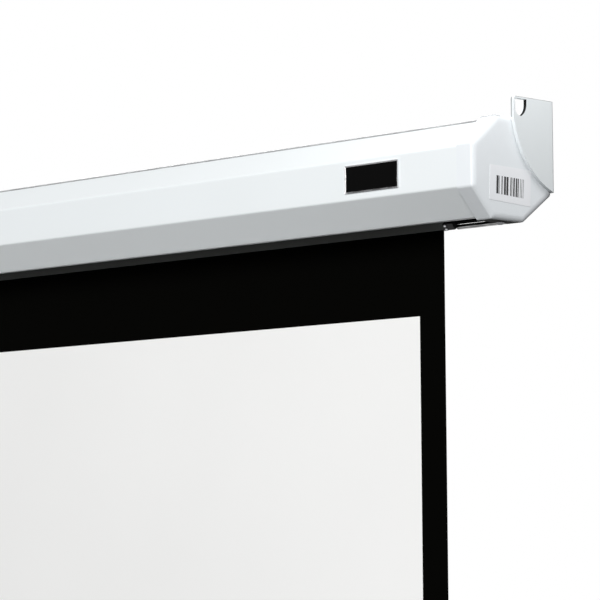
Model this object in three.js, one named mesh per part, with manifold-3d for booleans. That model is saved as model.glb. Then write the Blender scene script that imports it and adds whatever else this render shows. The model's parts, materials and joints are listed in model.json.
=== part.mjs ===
// Pull-down projector screen with a self-locking spring roller, hung from two mounting plates.
// Millimetres. +X runs to the right along the case, +Y points to the wall, +Z is up.
// The origin is on the wall plane, half way along the case, level with the top of the end caps.
import * as THREE from 'three';
import { mergeVertices } from 'three/addons/utils/BufferGeometryUtils.js';
import Module from 'manifold-3d';

const wasm = await Module();
wasm.setup();

// Fits shared by all pieces
const SEAT_GAP = 0.3;
const OVERRUN = 6;
const ROUND_STEPS = 32;
const SMALL_ROUND_STEPS = 16;
const CORNER_STEPS = 3;

// Picture area, 60 inches on the diagonal at 4:3, and the black round it
const VIEW_WIDTH = 1219;
const VIEW_HEIGHT = 914;
const SIDE_BORDER = 27;
const TOP_DROP = 66.2;
const BOTTOM_BORDER = 29.5;
const FABRIC_THICKNESS = 0.4;
const FABRIC_EDGE_TO_CAP_FACE = 84;
const FABRIC_TO_WALL = 34.9;

// End cap outline, in which the case's own outline sits
const CAP_DEPTH = 93.6;
const CAP_HEIGHT = 82;
const CAP_TO_WALL = 0.9;
const TOP_CHAMFER_DEPTH = 29.3;
const TOP_CHAMFER_DROP = 24.5;
const FRONT_FACE_HEIGHT = 33.9;
const LOWER_SLOPE_DEPTH = 22.9;
const BOTTOM_FLAT_DEPTH = 37.2;
const REAR_FACE_HEIGHT = 58.4;
const CAP_WALL = 2.1;
const CAP_SKIRT = 16.2;
const CAP_CORNER_RADIUS = 3.6;
const CAP_DOME_INSET = 6;
const CAP_DOME_RISE = 2.2;
const DOME_STEPS = 5;

// End plates that close the case inside the caps
const END_PLATE_THICKNESS = 2.5;
const END_PLATE_RECESS = 4.6;
const REAR_TAB_LENGTH = 17;
const REAR_TAB_MARGIN = 5;
const SCREW_TAB_LENGTH = 13;
const SCREW_TAB_DEPTH = 15;
const SCREW_TAB_TO_WALL = 42.5;

// Mounting plates, bent round the outside of the caps' rear corner
const PLATE_THICKNESS = 3;
const PLATE_BEND_RADIUS = 4;
const PLATE_RISE = 15.5;
const PLATE_LOWER_END = 56.3;
const PLATE_CORNER_RADIUS = 2.5;
const TAB_DEPTH = 49.2;
const PLATE_ARC_RADIUS = 70.5;
const PLATE_ARC_STEPS = 18;
const PLATE_ARC_END_TO_WALL = 3;
const PLATE_SEAT_MARGIN = 0.6;
const WALL_FLANGE_WIDTH = 32;

// Hanging eye in the raised corner of each plate
const EYE_WIDTH = 13.4;
const EYE_HEIGHT = 13.6;
const EYE_TOP_BRIDGE = 1.6;
const EYE_FRONT_WALL = 1.8;
const EYE_SIDE_DROP = 3.4;
const EYE_TIP_FORWARD = 7;
const EYE_STEPS = 5;

// Folded steel case
const SHEET = 1;
const BEND_RADIUS = 2.6;
const HEM_THICKNESS = 2.2;
const HEM_LENGTH = 6;
const SLOT_FRONT_LIP = 3;
const SLOT_REAR_CLEARANCE = 3.2;

// Fasteners
const CAP_SCREW_HEAD_RADIUS = 3.2;
const CAP_SCREW_HEAD_HEIGHT = 1.9;
const CAP_SCREW_RADIUS = 1.6;
const CAP_SCREW_LENGTH = 9;
const RIVET_RADIUS = 1.6;
const RIVET_HEAD_RADIUS = 2.8;
const RIVET_HEAD_DEPTH = 1.3;
const RIVET_TAIL_RADIUS = 2.6;
const RIVET_TAIL_HEIGHT = 1.1;
const RIVET_SPACING = 30;
const RIVET_LOWEST = 46;

// Badge plate on the front face
const BADGE_WIDTH = 58;
const BADGE_HEIGHT = 22;
const BADGE_THICKNESS = 1.4;
const BADGE_TO_CAP_FACE = 79.4;
const BADGE_TOP = 29.8;
const BADGE_BEVEL = 0.5;
const BADGE_GLUE = 0.2;

// Fabric guides clipped on the slot's rear hem, one beside each edge of the fabric
const GUIDE_LENGTH = 10.5;
const GUIDE_NOSE = 5.2;
const GUIDE_REACH = 2.6;
const GUIDE_LIP = 2;
const GUIDE_EDGE_GAP = 1;
const GUIDE_BEVEL = 0.8;
const GUIDE_SCREW_RADIUS = 0.8;
const GUIDE_SCREW_HEAD_RADIUS = 1.2;
const GUIDE_SCREW_CROWN_RADIUS = 0.8;
const GUIDE_SCREW_HEAD_HEIGHT = 0.7;
const GUIDE_SCREW_LENGTH = 3.6;
const GUIDE_SCREW_SPACING = 3;
const GUIDE_SCREW_INSET = 2.4;

// Roller
const ROLLER_AXIS_DROP = 41;
const PITCH_RADIUS = 20;
const TUBE_RADIUS = 19;
const TUBE_WALL = 1.2;
const WRAP_THICKNESS = 0.5;
const PLUG_INSERT = 25;
const IDLE_FLANGE_THICKNESS = 2.7;
const IDLE_NOSE_RADIUS = 6;
const IDLE_GAP_TO_PLATE = 13;
const PIN_RADIUS = 3;
const PIN_PROUD = 0.8;
const BUSH_RADIUS = 6;
const BUSH_FLANGE_RADIUS = 8.5;
const BUSH_FLANGE_THICKNESS = 1.6;

// Fixed spindle with its ratchet head
const SPINDLE_RADIUS = 3.5;
const SPINDLE_COLLAR_RADIUS = 6;
const SPINDLE_COLLAR_LENGTH = 4.1;
const SPINDLE_LENGTH = 285;
const BLADE_HEIGHT = 10;
const BLADE_THICKNESS = 4;
const BLADE_PROUD = 1.2;
const RATCHET_RADIUS = 11;
const RATCHET_THICKNESS = 5;
const RATCHET_HUB_RADIUS = 6.6;
const RATCHET_HUB_LENGTH = 3;
const RATCHET_NOTCHES = 4;
const NOTCH_FLOOR_RADIUS = 8;
const NOTCH_FACE_LEAN = 11.5;
const NOTCH_LENGTH = 12;

// Drive plug and its two pawls
const DRIVE_FLANGE_RADIUS = 22.6;
const DRIVE_FLANGE_THICKNESS = 3.4;
const DRIVE_INSERT = 32;
const SPRING_BOSS_RADIUS = 11.9;
const SPRING_BOSS_LENGTH = 22;
const PAWL_COUNT = 2;
const PAWL_THICKNESS = 4;
const PAWL_BOSS_RADIUS = 3;
const PAWL_PIVOT_RADIUS = 17;
const PAWL_PIVOT_LAG = 50;
const PAWL_NOSE_HALF_WIDTH = 1.5;
const PAWL_NOSE_HEIGHT = 3.7;
const PAWL_HEEL_SHIFT = 1.3;
const PAWL_HEEL_DROP = 1.7;
const PAWL_HEEL_RISE = 2.1;
const PAWL_PIN_RADIUS = 1.5;
const PAWL_PIN_HEAD_RADIUS = 2.4;
const PAWL_PIN_HEAD_HEIGHT = 1;
const PAWL_STEPS = 12;

// Torsion spring and what holds its inner end
const SPRING_WIRE_RADIUS = 0.8;
const SPRING_TURNS = 40;
const SPRING_LENGTH = 176;
const SPRING_STEPS_PER_TURN = 8;
const SPRING_SIDES = 5;
const ANCHOR_LENGTH = 26;
const BEARING_LENGTH = 9;
const CLIP_RADIUS = 6;
const CLIP_THICKNESS = 1.2;
const SPINDLE_TAIL = 2.5;

// Weight bar with its caps, rod and groove
const BAR_OVERHANG = 4;
const BAR_DEPTH = 18;
const BAR_HEIGHT = 26;
const BAR_CORNER_RADIUS = 6.5;
const BAR_WALL = 1.5;
const BAR_NECK = 1.8;
const BAR_NECK_HEIGHT = 2.6;
const GROOVE_RADIUS = 3.1;
const GROOVE_FLOOR = 10.6;
const ROD_RADIUS = 2.6;
const BAR_CAP_THICKNESS = 4;
const BAR_CAP_PROUD = 0.6;
const BAR_CAP_BEVEL = 1.4;
const BAR_PLUG_LENGTH = 12;

// Pull handle, its bracket and pin
const BRACKET_WIDTH = 26;
const BRACKET_BAND = 1.8;
const BRACKET_EAR_THICKNESS = 2.5;
const BRACKET_EAR_DROP = 9;
const BRACKET_EAR_RADIUS = 4;
const HANDLE_PIN_RADIUS = 1.5;
const HANDLE_PIN_HEAD_RADIUS = 2.6;
const HANDLE_PIN_HEAD_HEIGHT = 1;
const HANDLE_BARREL_RADIUS = 3.8;
const HANDLE_TOP_WIDTH = 26;
const HANDLE_BOTTOM_WIDTH = 62;
const HANDLE_HEIGHT = 46;
const HANDLE_RING = 8;
const HANDLE_THICKNESS = 7;
const HANDLE_BEVEL = 2;
const HANDLE_CORNER_RADIUS = 9;
const HANDLE_SHOULDER_DROP = 5;
const BRACKET_SCREW_RADIUS = 1.4;
const BRACKET_SCREW_HEAD_RADIUS = 2.6;
const BRACKET_SCREW_HEAD_HEIGHT = 1.2;
const BRACKET_SCREW_LENGTH = 3.2;

// Places that follow from the sizes above
const fabricWidth = VIEW_WIDTH + 2 * SIDE_BORDER;
const capFaceX = fabricWidth / 2 + FABRIC_EDGE_TO_CAP_FACE;
const skirtEdgeX = capFaceX - CAP_SKIRT;
const endPlateOuterX = capFaceX - END_PLATE_RECESS;
const endPlateInnerX = endPlateOuterX - END_PLATE_THICKNESS;
const caseEndX = endPlateInnerX - SEAT_GAP;
const mountInnerX = capFaceX + SEAT_GAP;
const mountOuterX = mountInnerX + PLATE_THICKNESS;
const caseInset = CAP_WALL + SEAT_GAP;
const caseBackY = -CAP_TO_WALL - caseInset;
const flangeFaceY = caseBackY + SEAT_GAP;
const axisY = -FABRIC_TO_WALL - PITCH_RADIUS - SEAT_GAP;
const axisZ = -ROLLER_AXIS_DROP;
const caseBottomZ = -CAP_HEIGHT + caseInset;
const barTopZ = -CAP_HEIGHT - TOP_DROP - VIEW_HEIGHT - BOTTOM_BORDER;
const tubeBore = TUBE_RADIUS - TUBE_WALL;
const plugRadius = tubeBore - SEAT_GAP;
const spindleBore = SPINDLE_RADIUS + SEAT_GAP;

// Finishes
const finish = (name, color, roughness, metalness) =>
  Object.assign(new THREE.MeshStandardMaterial({ color, roughness, metalness }), { name });
const enamel = finish('enamel', 0xf2f3f4, 0.38, 0.1);
const moulding = finish('moulding', 0xe6e8ea, 0.45, 0);
const plateEnamel = finish('plate_enamel', 0xe2e4e6, 0.4, 0.1);
const zinc = finish('zinc', 0xb9bcc0, 0.35, 0.9);
const springSteel = finish('spring_steel', 0x7d8085, 0.35, 0.95);
const tubeMetal = finish('tube_metal', 0x9a9da1, 0.45, 0.85);
const nylon = finish('nylon', 0xd8d6cc, 0.5, 0);
const blackPlastic = finish('black_plastic', 0x17181a, 0.5, 0);
const screenCloth = finish('screen_cloth', 0xf4f4f2, 0.9, 0);
const blackCloth = finish('black_cloth', 0x111112, 0.9, 0);
const badgeBlack = finish('badge_black', 0x0c0c0d, 0.2, 0.2);

// A closed geometry as a solid: shared corners merged, flat slivers dropped, faces turned out
function solidOf(geometry) {
  const bare = geometry.clone();
  bare.deleteAttribute('normal');
  bare.deleteAttribute('uv');
  const merged = mergeVertices(bare);
  const places = merged.attributes.position;
  const corners = [];
  const order = merged.index.array;
  for (let i = 0; i < order.length; i += 3) {
    const [a, b, c] = [order[i], order[i + 1], order[i + 2]];
    if (a !== b && b !== c && c !== a) corners.push(a, b, c);
  }
  if (signedVolume(places, corners) < 0) corners.reverse();
  const mesh = new wasm.Mesh({
    numProp: 3,
    vertProperties: new Float32Array(places.array),
    triVerts: new Uint32Array(corners),
  });
  return new wasm.Manifold(mesh);
}

function signedVolume(places, corners) {
  const [a, b, c] = [new THREE.Vector3(), new THREE.Vector3(), new THREE.Vector3()];
  let total = 0;
  for (let i = 0; i < corners.length; i += 3) {
    a.fromBufferAttribute(places, corners[i]);
    b.fromBufferAttribute(places, corners[i + 1]);
    c.fromBufferAttribute(places, corners[i + 2]);
    total += a.dot(b.cross(c)) / 6;
  }
  return total;
}

function geometryOf(solid) {
  const mesh = solid.getMesh();
  const geometry = new THREE.BufferGeometry();
  geometry.setAttribute('position', new THREE.BufferAttribute(new Float32Array(mesh.vertProperties), 3));
  geometry.setIndex(new THREE.BufferAttribute(new Uint32Array(mesh.triVerts), 1));
  geometry.computeVertexNormals();
  return geometry;
}

function cut(base, ...tools) {
  return geometryOf(tools.reduce((solid, tool) => solid.subtract(solidOf(tool)), solidOf(base)));
}

function join(base, ...others) {
  return geometryOf(others.reduce((solid, other) => solid.add(solidOf(other)), solidOf(base)));
}

function common(base, other) {
  return geometryOf(solidOf(base).intersect(solidOf(other)));
}

// A piece of the left end from the same piece of the right end, or the other way round
function mirrored(geometry) {
  return geometryOf(solidOf(geometry.clone().scale(-1, 1, 1)));
}

// Outlines are lists of [y, z] or [x, z] points, written anticlockwise
function shapeOf(points) {
  return new THREE.Shape(points.map(([u, v]) => new THREE.Vector2(u, v)));
}

// Straight prisms from an outline: along X from a (y, z) outline, along Y from (x, z), along Z from (x, y)
function prismX(shape, from, to, options = {}) {
  const geometry = new THREE.ExtrudeGeometry(shape, { depth: to - from, bevelEnabled: false, ...options });
  const turn = new THREE.Matrix4().makeBasis(
    new THREE.Vector3(0, 1, 0), new THREE.Vector3(0, 0, 1), new THREE.Vector3(1, 0, 0));
  return geometry.applyMatrix4(turn).translate(from, 0, 0);
}

function prismY(shape, from, to, options = {}) {
  const geometry = new THREE.ExtrudeGeometry(shape, { depth: to - from, bevelEnabled: false, ...options });
  return geometry.rotateX(Math.PI / 2).translate(0, to, 0);
}

function prismZ(shape, from, to, options = {}) {
  return new THREE.ExtrudeGeometry(shape, { depth: to - from, bevelEnabled: false, ...options })
    .translate(0, 0, from);
}

// A closed skin through convex outlines of equally many points; a layer is [x, outline]
function loftX(layers) {
  const count = layers[0][1].length;
  const places = layers.flatMap(([x, outline]) => outline.flatMap(([y, z]) => [x, y, z]));
  const order = [];
  for (let layer = 0; layer + 1 < layers.length; layer += 1) {
    for (let i = 0; i < count; i += 1) {
      const [here, next] = [layer * count + i, layer * count + ((i + 1) % count)];
      order.push(here, next, next + count, here, next + count, here + count);
    }
  }
  const last = (layers.length - 1) * count;
  for (let i = 1; i + 1 < count; i += 1) {
    order.push(0, i + 1, i, last, last + i, last + i + 1);
  }
  const geometry = new THREE.BufferGeometry();
  geometry.setAttribute('position', new THREE.Float32BufferAttribute(places, 3));
  return geometry.setIndex(order);
}

// A block between two corners
function block(low, high) {
  const size = high.map((value, i) => value - low[i]);
  const middle = high.map((value, i) => (value + low[i]) / 2);
  return new THREE.BoxGeometry(...size).translate(...middle);
}

// A turned piece about a line along X; the profile is a list of [x, radius]
function turnedX(profile, y, z, steps = ROUND_STEPS) {
  const points = profile.map(([along, radius]) => new THREE.Vector2(radius, along));
  return new THREE.LatheGeometry(points, steps).rotateZ(-Math.PI / 2).translate(0, y, z);
}

function turnedY(profile, x, z, steps = SMALL_ROUND_STEPS) {
  const points = profile.map(([along, radius]) => new THREE.Vector2(radius, along));
  return new THREE.LatheGeometry(points, steps).translate(x, 0, z);
}

function turnedZ(profile, x, y, steps = SMALL_ROUND_STEPS) {
  const points = profile.map(([along, radius]) => new THREE.Vector2(radius, along));
  return new THREE.LatheGeometry(points, steps).rotateX(Math.PI / 2).translate(x, y, 0);
}

const rodProfile = (from, to, radius) => [[from, 0], [from, radius], [to, radius], [to, 0]];
const ringProfile = (from, to, inner, outer) =>
  [[from, inner], [from, outer], [to, outer], [to, inner], [from, inner]];

// A convex outline moved inwards by a distance, every edge parallel to itself
function inset(points, distance) {
  const edges = points.map(([u, v], i) => {
    const [nextU, nextV] = points[(i + 1) % points.length];
    const length = Math.hypot(nextU - u, nextV - v);
    const normal = [-(nextV - v) / length, (nextU - u) / length];
    return { normal, reach: normal[0] * u + normal[1] * v + distance };
  });
  return edges.map((edge, i) => meetingPoint(edges[(i + edges.length - 1) % edges.length], edge));
}

function meetingPoint(one, other) {
  const cross = one.normal[0] * other.normal[1] - one.normal[1] * other.normal[0];
  return [
    (one.reach * other.normal[1] - other.reach * one.normal[1]) / cross,
    (other.reach * one.normal[0] - one.reach * other.normal[0]) / cross,
  ];
}

// The rounded stand-in for one corner of an outline
function roundedCorner(before, corner, after, radius) {
  const toBefore = new THREE.Vector2(before[0] - corner[0], before[1] - corner[1]).normalize();
  const toAfter = new THREE.Vector2(after[0] - corner[0], after[1] - corner[1]).normalize();
  const half = Math.acos(THREE.MathUtils.clamp(toBefore.dot(toAfter), -1, 1)) / 2;
  const reach = radius / Math.tan(half);
  const start = new THREE.Vector2(...corner).addScaledVector(toBefore, reach);
  const end = new THREE.Vector2(...corner).addScaledVector(toAfter, reach);
  const inwards = toBefore.clone().add(toAfter).normalize();
  const centre = new THREE.Vector2(...corner).addScaledVector(inwards, radius / Math.sin(half));
  const from = Math.atan2(start.y - centre.y, start.x - centre.x);
  let sweep = Math.atan2(end.y - centre.y, end.x - centre.x) - from;
  if (sweep > Math.PI) sweep -= 2 * Math.PI;
  if (sweep < -Math.PI) sweep += 2 * Math.PI;
  return Array.from({ length: CORNER_STEPS + 1 }, (_, step) => {
    const angle = from + (sweep * step) / CORNER_STEPS;
    return [centre.x + radius * Math.cos(angle), centre.y + radius * Math.sin(angle)];
  });
}

// A closed outline with all its corners rounded
function rounded(points, radius) {
  return points.flatMap((corner, i) => {
    const before = points[(i + points.length - 1) % points.length];
    const after = points[(i + 1) % points.length];
    return roundedCorner(before, corner, after, radius);
  });
}

// An open line of points with its inner corners rounded
function bent(points, radius) {
  return points.flatMap((corner, i) => {
    if (i === 0 || i === points.length - 1) return [corner];
    return roundedCorner(points[i - 1], corner, points[i + 1], radius);
  });
}

function roundedBox(width, height, radius, centreU = 0, centreV = 0) {
  const [u, v] = [width / 2, height / 2];
  const corners = [[-u, v], [-u, -v], [u, -v], [u, v]];
  return rounded(corners.map(([a, b]) => [a + centreU, b + centreV]), radius);
}

// The cap outline in (y, z), from the top front bend round by the bottom to the top rear corner
const capFrontY = -CAP_TO_WALL - CAP_DEPTH;
const frontFaceEndZ = -TOP_CHAMFER_DROP - FRONT_FACE_HEIGHT;
const capOutline = [
  [capFrontY + TOP_CHAMFER_DEPTH, 0],
  [capFrontY, -TOP_CHAMFER_DROP],
  [capFrontY, frontFaceEndZ],
  [capFrontY + LOWER_SLOPE_DEPTH, -CAP_HEIGHT],
  [capFrontY + LOWER_SLOPE_DEPTH + BOTTOM_FLAT_DEPTH, -CAP_HEIGHT],
  [-CAP_TO_WALL, -REAR_FACE_HEIGHT],
  [-CAP_TO_WALL, 0],
];
const caseOutline = inset(capOutline, caseInset);
const caseInner = inset(capOutline, caseInset + SHEET);

// The line between the two ends of the lower rear slope, at a given y
function slopePoint([startY, startZ], [endY, endZ], y) {
  return [y, startZ + ((y - startY) * (endZ - startZ)) / (endY - startY)];
}

// The slot's rear lip lies on the lower rear slope; places near it are a distance along the slope
// and a depth into the case
const slopeFoot = caseOutline[4];
const slopeHead = caseOutline[5];
const rearLip = slopePoint(slopeFoot, slopeHead, -FABRIC_TO_WALL + SLOT_REAR_CLEARANCE);
const slopeAngle = Math.atan2(slopeHead[1] - slopeFoot[1], slopeHead[0] - slopeFoot[0]);

function onSlope(geometry) {
  return geometry.rotateX(slopeAngle).translate(0, ...rearLip);
}

function slopePlace(distance, depth) {
  const place = new THREE.Vector2(distance, depth).rotateAround(new THREE.Vector2(), slopeAngle);
  return [rearLip[0] + place.x, rearLip[1] + place.y];
}

// Case: one strip of sheet bent round seven sides, hemmed inwards at both edges of the slot
function caseShell() {
  const [topFront, upperFront, lowerFront, bottomFront, , rearFoot, rearTop] = caseOutline;
  const frontLipY = bottomFront[0] + SLOT_FRONT_LIP;
  const hemTopZ = bottomFront[1] + HEM_THICKNESS;
  const frontHemFoot = onFrontSlope(hemTopZ);
  const outer = bent(
    [[frontLipY, bottomFront[1]], bottomFront, lowerFront, upperFront, topFront, rearTop, rearFoot,
      slopePlace(0, 0)],
    BEND_RADIUS);
  const rearHem = [slopePlace(0, HEM_THICKNESS), slopePlace(HEM_LENGTH, HEM_THICKNESS)];
  const inner = bent(
    [slopePlace(HEM_LENGTH, SHEET), caseInner[5], caseInner[6], caseInner[0], caseInner[1],
      caseInner[2], frontHemFoot],
    BEND_RADIUS - SHEET);
  const outline = [...outer, ...rearHem, ...inner, [frontLipY, hemTopZ]].reverse();
  return prismX(shapeOf(outline), -caseEndX, caseEndX);
}

// Where the inside of the lower front slope reaches the height of the front hem
function onFrontSlope(height) {
  const [, , lower, bottom] = caseInner;
  const y = lower[0] + ((height - lower[1]) * (bottom[0] - lower[0])) / (bottom[1] - lower[1]);
  return [y, height];
}

// The arc that bounds the mounting plate in front and below, from the tab's foot to its lower end
function plateArc(radius) {
  const start = new THREE.Vector2(-TAB_DEPTH, 0);
  const end = new THREE.Vector2(-PLATE_ARC_END_TO_WALL, -PLATE_LOWER_END);
  const middle = start.clone().add(end).multiplyScalar(0.5);
  const half = end.clone().sub(start).multiplyScalar(0.5);
  const rise = Math.sqrt(PLATE_ARC_RADIUS ** 2 - half.lengthSq());
  const across = new THREE.Vector2(-half.y, half.x).normalize();
  const centre = middle.addScaledVector(across, rise);
  const from = Math.atan2(start.y - centre.y, start.x - centre.x);
  const sweep = Math.atan2(end.y - centre.y, end.x - centre.x) - from;
  const full = sweep < 0 ? sweep + 2 * Math.PI : sweep;
  return Array.from({ length: PLATE_ARC_STEPS + 1 }, (_, step) => {
    const angle = from + (full * step) / PLATE_ARC_STEPS;
    return [centre.x + radius * Math.cos(angle), centre.y + radius * Math.sin(angle)];
  });
}

// The cap's outer skin: the outline drawn in and rounded over towards the end face
function capSkin(firstX) {
  const layers = Array.from({ length: DOME_STEPS + 1 }, (_, step) => {
    const turn = (step * Math.PI) / 2 / DOME_STEPS;
    const drawnIn = CAP_DOME_INSET * (1 - Math.cos(turn));
    const x = capFaceX - CAP_DOME_RISE * (1 - Math.sin(turn));
    return [x, rounded(inset(capOutline, drawnIn), CAP_CORNER_RADIUS)];
  });
  return loftX([[firstX, layers[0][1]], ...layers]);
}

// The cap's end face stays level under the mounting plate, out to the cap's own outline
function plateSeat() {
  const arc = plateArc(PLATE_ARC_RADIUS - PLATE_SEAT_MARGIN);
  const [firstY] = arc[0];
  const [, lastZ] = arc[arc.length - 1];
  const underPlate = [[firstY, OVERRUN], ...arc, [OVERRUN, lastZ], [OVERRUN, OVERRUN]];
  return common(
    prismX(shapeOf(underPlate), endPlateOuterX, capFaceX),
    prismX(shapeOf(rounded(capOutline, CAP_CORNER_RADIUS)), skirtEdgeX, capFaceX));
}

// End cap: a seven-sided shell with a skirt, its end face rounded over and open at the back
function rightEndCap() {
  const cavityOutline = shapeOf(rounded(inset(capOutline, CAP_WALL), CAP_CORNER_RADIUS - CAP_WALL));
  const cavity = prismX(cavityOutline, skirtEdgeX - OVERRUN, endPlateOuterX + SEAT_GAP);
  const pocket = prismX(
    shapeOf(rounded(inset(capOutline, CAP_DOME_INSET), CAP_CORNER_RADIUS)),
    endPlateInnerX, capFaceX - CAP_WALL);
  const flangeRoom = block(
    [skirtEdgeX - OVERRUN, caseBackY - 2 * SEAT_GAP, -PLATE_LOWER_END - SEAT_GAP],
    [capFaceX + OVERRUN, OVERRUN, OVERRUN]);
  const screwHole = turnedZ(
    rodProfile(-CAP_HEIGHT - OVERRUN, -CAP_HEIGHT + OVERRUN, CAP_SCREW_RADIUS + SEAT_GAP),
    capScrewX, capScrewY);
  return cut(join(capSkin(skirtEdgeX), plateSeat()), cavity, pocket, flangeRoom, screwHole);
}

// The screw under the cap goes up through the skirt into the end plate's lower tab
const capScrewX = endPlateInnerX - SCREW_TAB_LENGTH / 3;
const capScrewY = -SCREW_TAB_TO_WALL - SCREW_TAB_DEPTH / 2;

function rightCapScrew() {
  const seat = -CAP_HEIGHT - SEAT_GAP / 2;
  const profile = [
    [seat - CAP_SCREW_HEAD_HEIGHT, 0],
    [seat - CAP_SCREW_HEAD_HEIGHT, CAP_SCREW_HEAD_RADIUS / 2],
    [seat - CAP_SCREW_HEAD_HEIGHT / 2, CAP_SCREW_HEAD_RADIUS],
    [seat, CAP_SCREW_HEAD_RADIUS],
    [seat, CAP_SCREW_RADIUS],
    [seat + CAP_SCREW_LENGTH, CAP_SCREW_RADIUS],
    [seat + CAP_SCREW_LENGTH, 0],
  ];
  return turnedZ(profile, capScrewX, capScrewY);
}

// Three layers are riveted together at the back: the mounting plate's wall flange, the case and
// the end plate's rear tab
const rivetHeights = [-RIVET_LOWEST, -RIVET_LOWEST + RIVET_SPACING];
const flangeEndX = mountOuterX - WALL_FLANGE_WIDTH;
const rivetX = (flangeEndX + caseEndX) / 2;
const rearTabY = caseBackY - SHEET - SEAT_GAP;
const rearTabFaceY = rearTabY - END_PLATE_THICKNESS;

// A countersunk hole in the wall flange, and the plain hole behind it in the case and the tab
function rivetHole(height) {
  const sunk = RIVET_HEAD_RADIUS + SEAT_GAP;
  const plain = RIVET_RADIUS + SEAT_GAP;
  return turnedY(
    [
      [OVERRUN, 0],
      [OVERRUN, sunk],
      [0, sunk],
      [-RIVET_HEAD_DEPTH, plain],
      [rearTabFaceY - OVERRUN, plain],
      [rearTabFaceY - OVERRUN, 0],
    ],
    rivetX, height);
}

function rightRivet(height) {
  const tailY = rearTabFaceY - SEAT_GAP / 2;
  return turnedY(
    [
      [tailY - RIVET_TAIL_HEIGHT, 0],
      [tailY - RIVET_TAIL_HEIGHT, RIVET_TAIL_RADIUS],
      [tailY, RIVET_TAIL_RADIUS],
      [tailY, RIVET_RADIUS],
      [-RIVET_HEAD_DEPTH, RIVET_RADIUS],
      [-SEAT_GAP / 2, RIVET_HEAD_RADIUS],
      [-SEAT_GAP / 2, 0],
    ],
    rivetX, height);
}

function drilledCase() {
  const holes = rivetHeights.flatMap((height) => [rivetHole(height), mirrored(rivetHole(height))]);
  return cut(caseShell(), ...holes);
}

// End plate: closes the case, with a tab inside the case's back for the rivets and a tab along
// the bottom for the cap's screw
function endPlateBlank() {
  const sheet = prismX(shapeOf(caseOutline), endPlateInnerX, endPlateOuterX);
  const rearTab = block(
    [endPlateInnerX - REAR_TAB_LENGTH, rearTabFaceY, rivetHeights[0] - REAR_TAB_MARGIN],
    [endPlateOuterX, rearTabY, rivetHeights[1] + REAR_TAB_MARGIN]);
  const screwTab = block(
    [endPlateInnerX - SCREW_TAB_LENGTH, -SCREW_TAB_TO_WALL - SCREW_TAB_DEPTH, caseBottomZ],
    [endPlateOuterX, -SCREW_TAB_TO_WALL, caseBottomZ + END_PLATE_THICKNESS]);
  const screwHole = turnedZ(
    rodProfile(caseBottomZ - OVERRUN, caseBottomZ + OVERRUN, CAP_SCREW_RADIUS + SEAT_GAP),
    capScrewX, capScrewY);
  return cut(join(sheet, rearTab, screwTab), screwHole, ...rivetHeights.map(rivetHole));
}

function rightEndPlate() {
  const bearingHole = turnedX(
    rodProfile(endPlateInnerX - OVERRUN, endPlateOuterX + OVERRUN, BUSH_RADIUS + SEAT_GAP),
    axisY, axisZ);
  return cut(endPlateBlank(), bearingHole);
}

function leftEndPlate() {
  const bladeSlot = prismX(
    shapeOf([
      [axisY - BLADE_THICKNESS / 2 - SEAT_GAP, axisZ + BLADE_HEIGHT / 2 + SEAT_GAP],
      [axisY - BLADE_THICKNESS / 2 - SEAT_GAP, axisZ - BLADE_HEIGHT / 2 - SEAT_GAP],
      [axisY + BLADE_THICKNESS / 2 + SEAT_GAP, axisZ - BLADE_HEIGHT / 2 - SEAT_GAP],
      [axisY + BLADE_THICKNESS / 2 + SEAT_GAP, axisZ + BLADE_HEIGHT / 2 + SEAT_GAP],
    ]),
    -endPlateOuterX - OVERRUN, -endPlateInnerX + OVERRUN);
  return cut(mirrored(endPlateBlank()), bladeSlot);
}

// Hanging eye: square above and drawn to a blunt point below, with its point to the front
function eyeOutline() {
  const frontY = -TAB_DEPTH + EYE_FRONT_WALL;
  const rearY = frontY + EYE_WIDTH;
  const topZ = PLATE_RISE - EYE_TOP_BRIDGE;
  const tip = new THREE.Vector2(frontY + EYE_TIP_FORWARD, topZ - EYE_HEIGHT);
  const shape = new THREE.Shape();
  shape.moveTo(frontY, topZ);
  shape.lineTo(frontY, topZ - EYE_HEIGHT / 2);
  shape.quadraticCurveTo(frontY, tip.y, tip.x, tip.y);
  shape.quadraticCurveTo(rearY, tip.y + EYE_SIDE_DROP, rearY, topZ - EYE_SIDE_DROP);
  shape.lineTo(rearY, topZ);
  return shape;
}

// Mounting plate: lies on the cap's end face up to the arc, rises behind it with the hanging eye,
// and is bent inwards along the wall as a flange
function rightMountingPlate() {
  const farY = -TAB_DEPTH - OVERRUN;
  const outerBend = roundedCorner([mountOuterX, farY], [mountOuterX, 0], [flangeEndX, 0], PLATE_BEND_RADIUS);
  const innerBend = roundedCorner(
    [flangeEndX, flangeFaceY], [mountInnerX, flangeFaceY], [mountInnerX, farY],
    PLATE_BEND_RADIUS - PLATE_THICKNESS);
  const bentSheet = prismZ(
    shapeOf([
      [mountOuterX, farY], ...outerBend, [flangeEndX, 0],
      [flangeEndX, flangeFaceY], ...innerBend, [mountInnerX, farY],
    ]),
    -PLATE_LOWER_END, PLATE_RISE);
  const tabTop = roundedCorner(
    [0, PLATE_RISE], [-TAB_DEPTH, PLATE_RISE], [-TAB_DEPTH, 0], PLATE_CORNER_RADIUS);
  const outline = [
    ...tabTop, ...plateArc(PLATE_ARC_RADIUS), [OVERRUN, -PLATE_LOWER_END], [OVERRUN, PLATE_RISE]];
  const side = common(
    bentSheet, prismX(shapeOf(outline), flangeEndX - OVERRUN, mountOuterX + OVERRUN));
  const flange = block(
    [flangeEndX, flangeFaceY, -PLATE_LOWER_END], [mountOuterX - PLATE_BEND_RADIUS, 0, PLATE_RISE]);
  const eye = prismX(
    eyeOutline(), mountInnerX - OVERRUN, mountOuterX + OVERRUN, { curveSegments: EYE_STEPS });
  return cut(join(side, flange), eye, ...rivetHeights.map(rivetHole));
}

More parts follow.
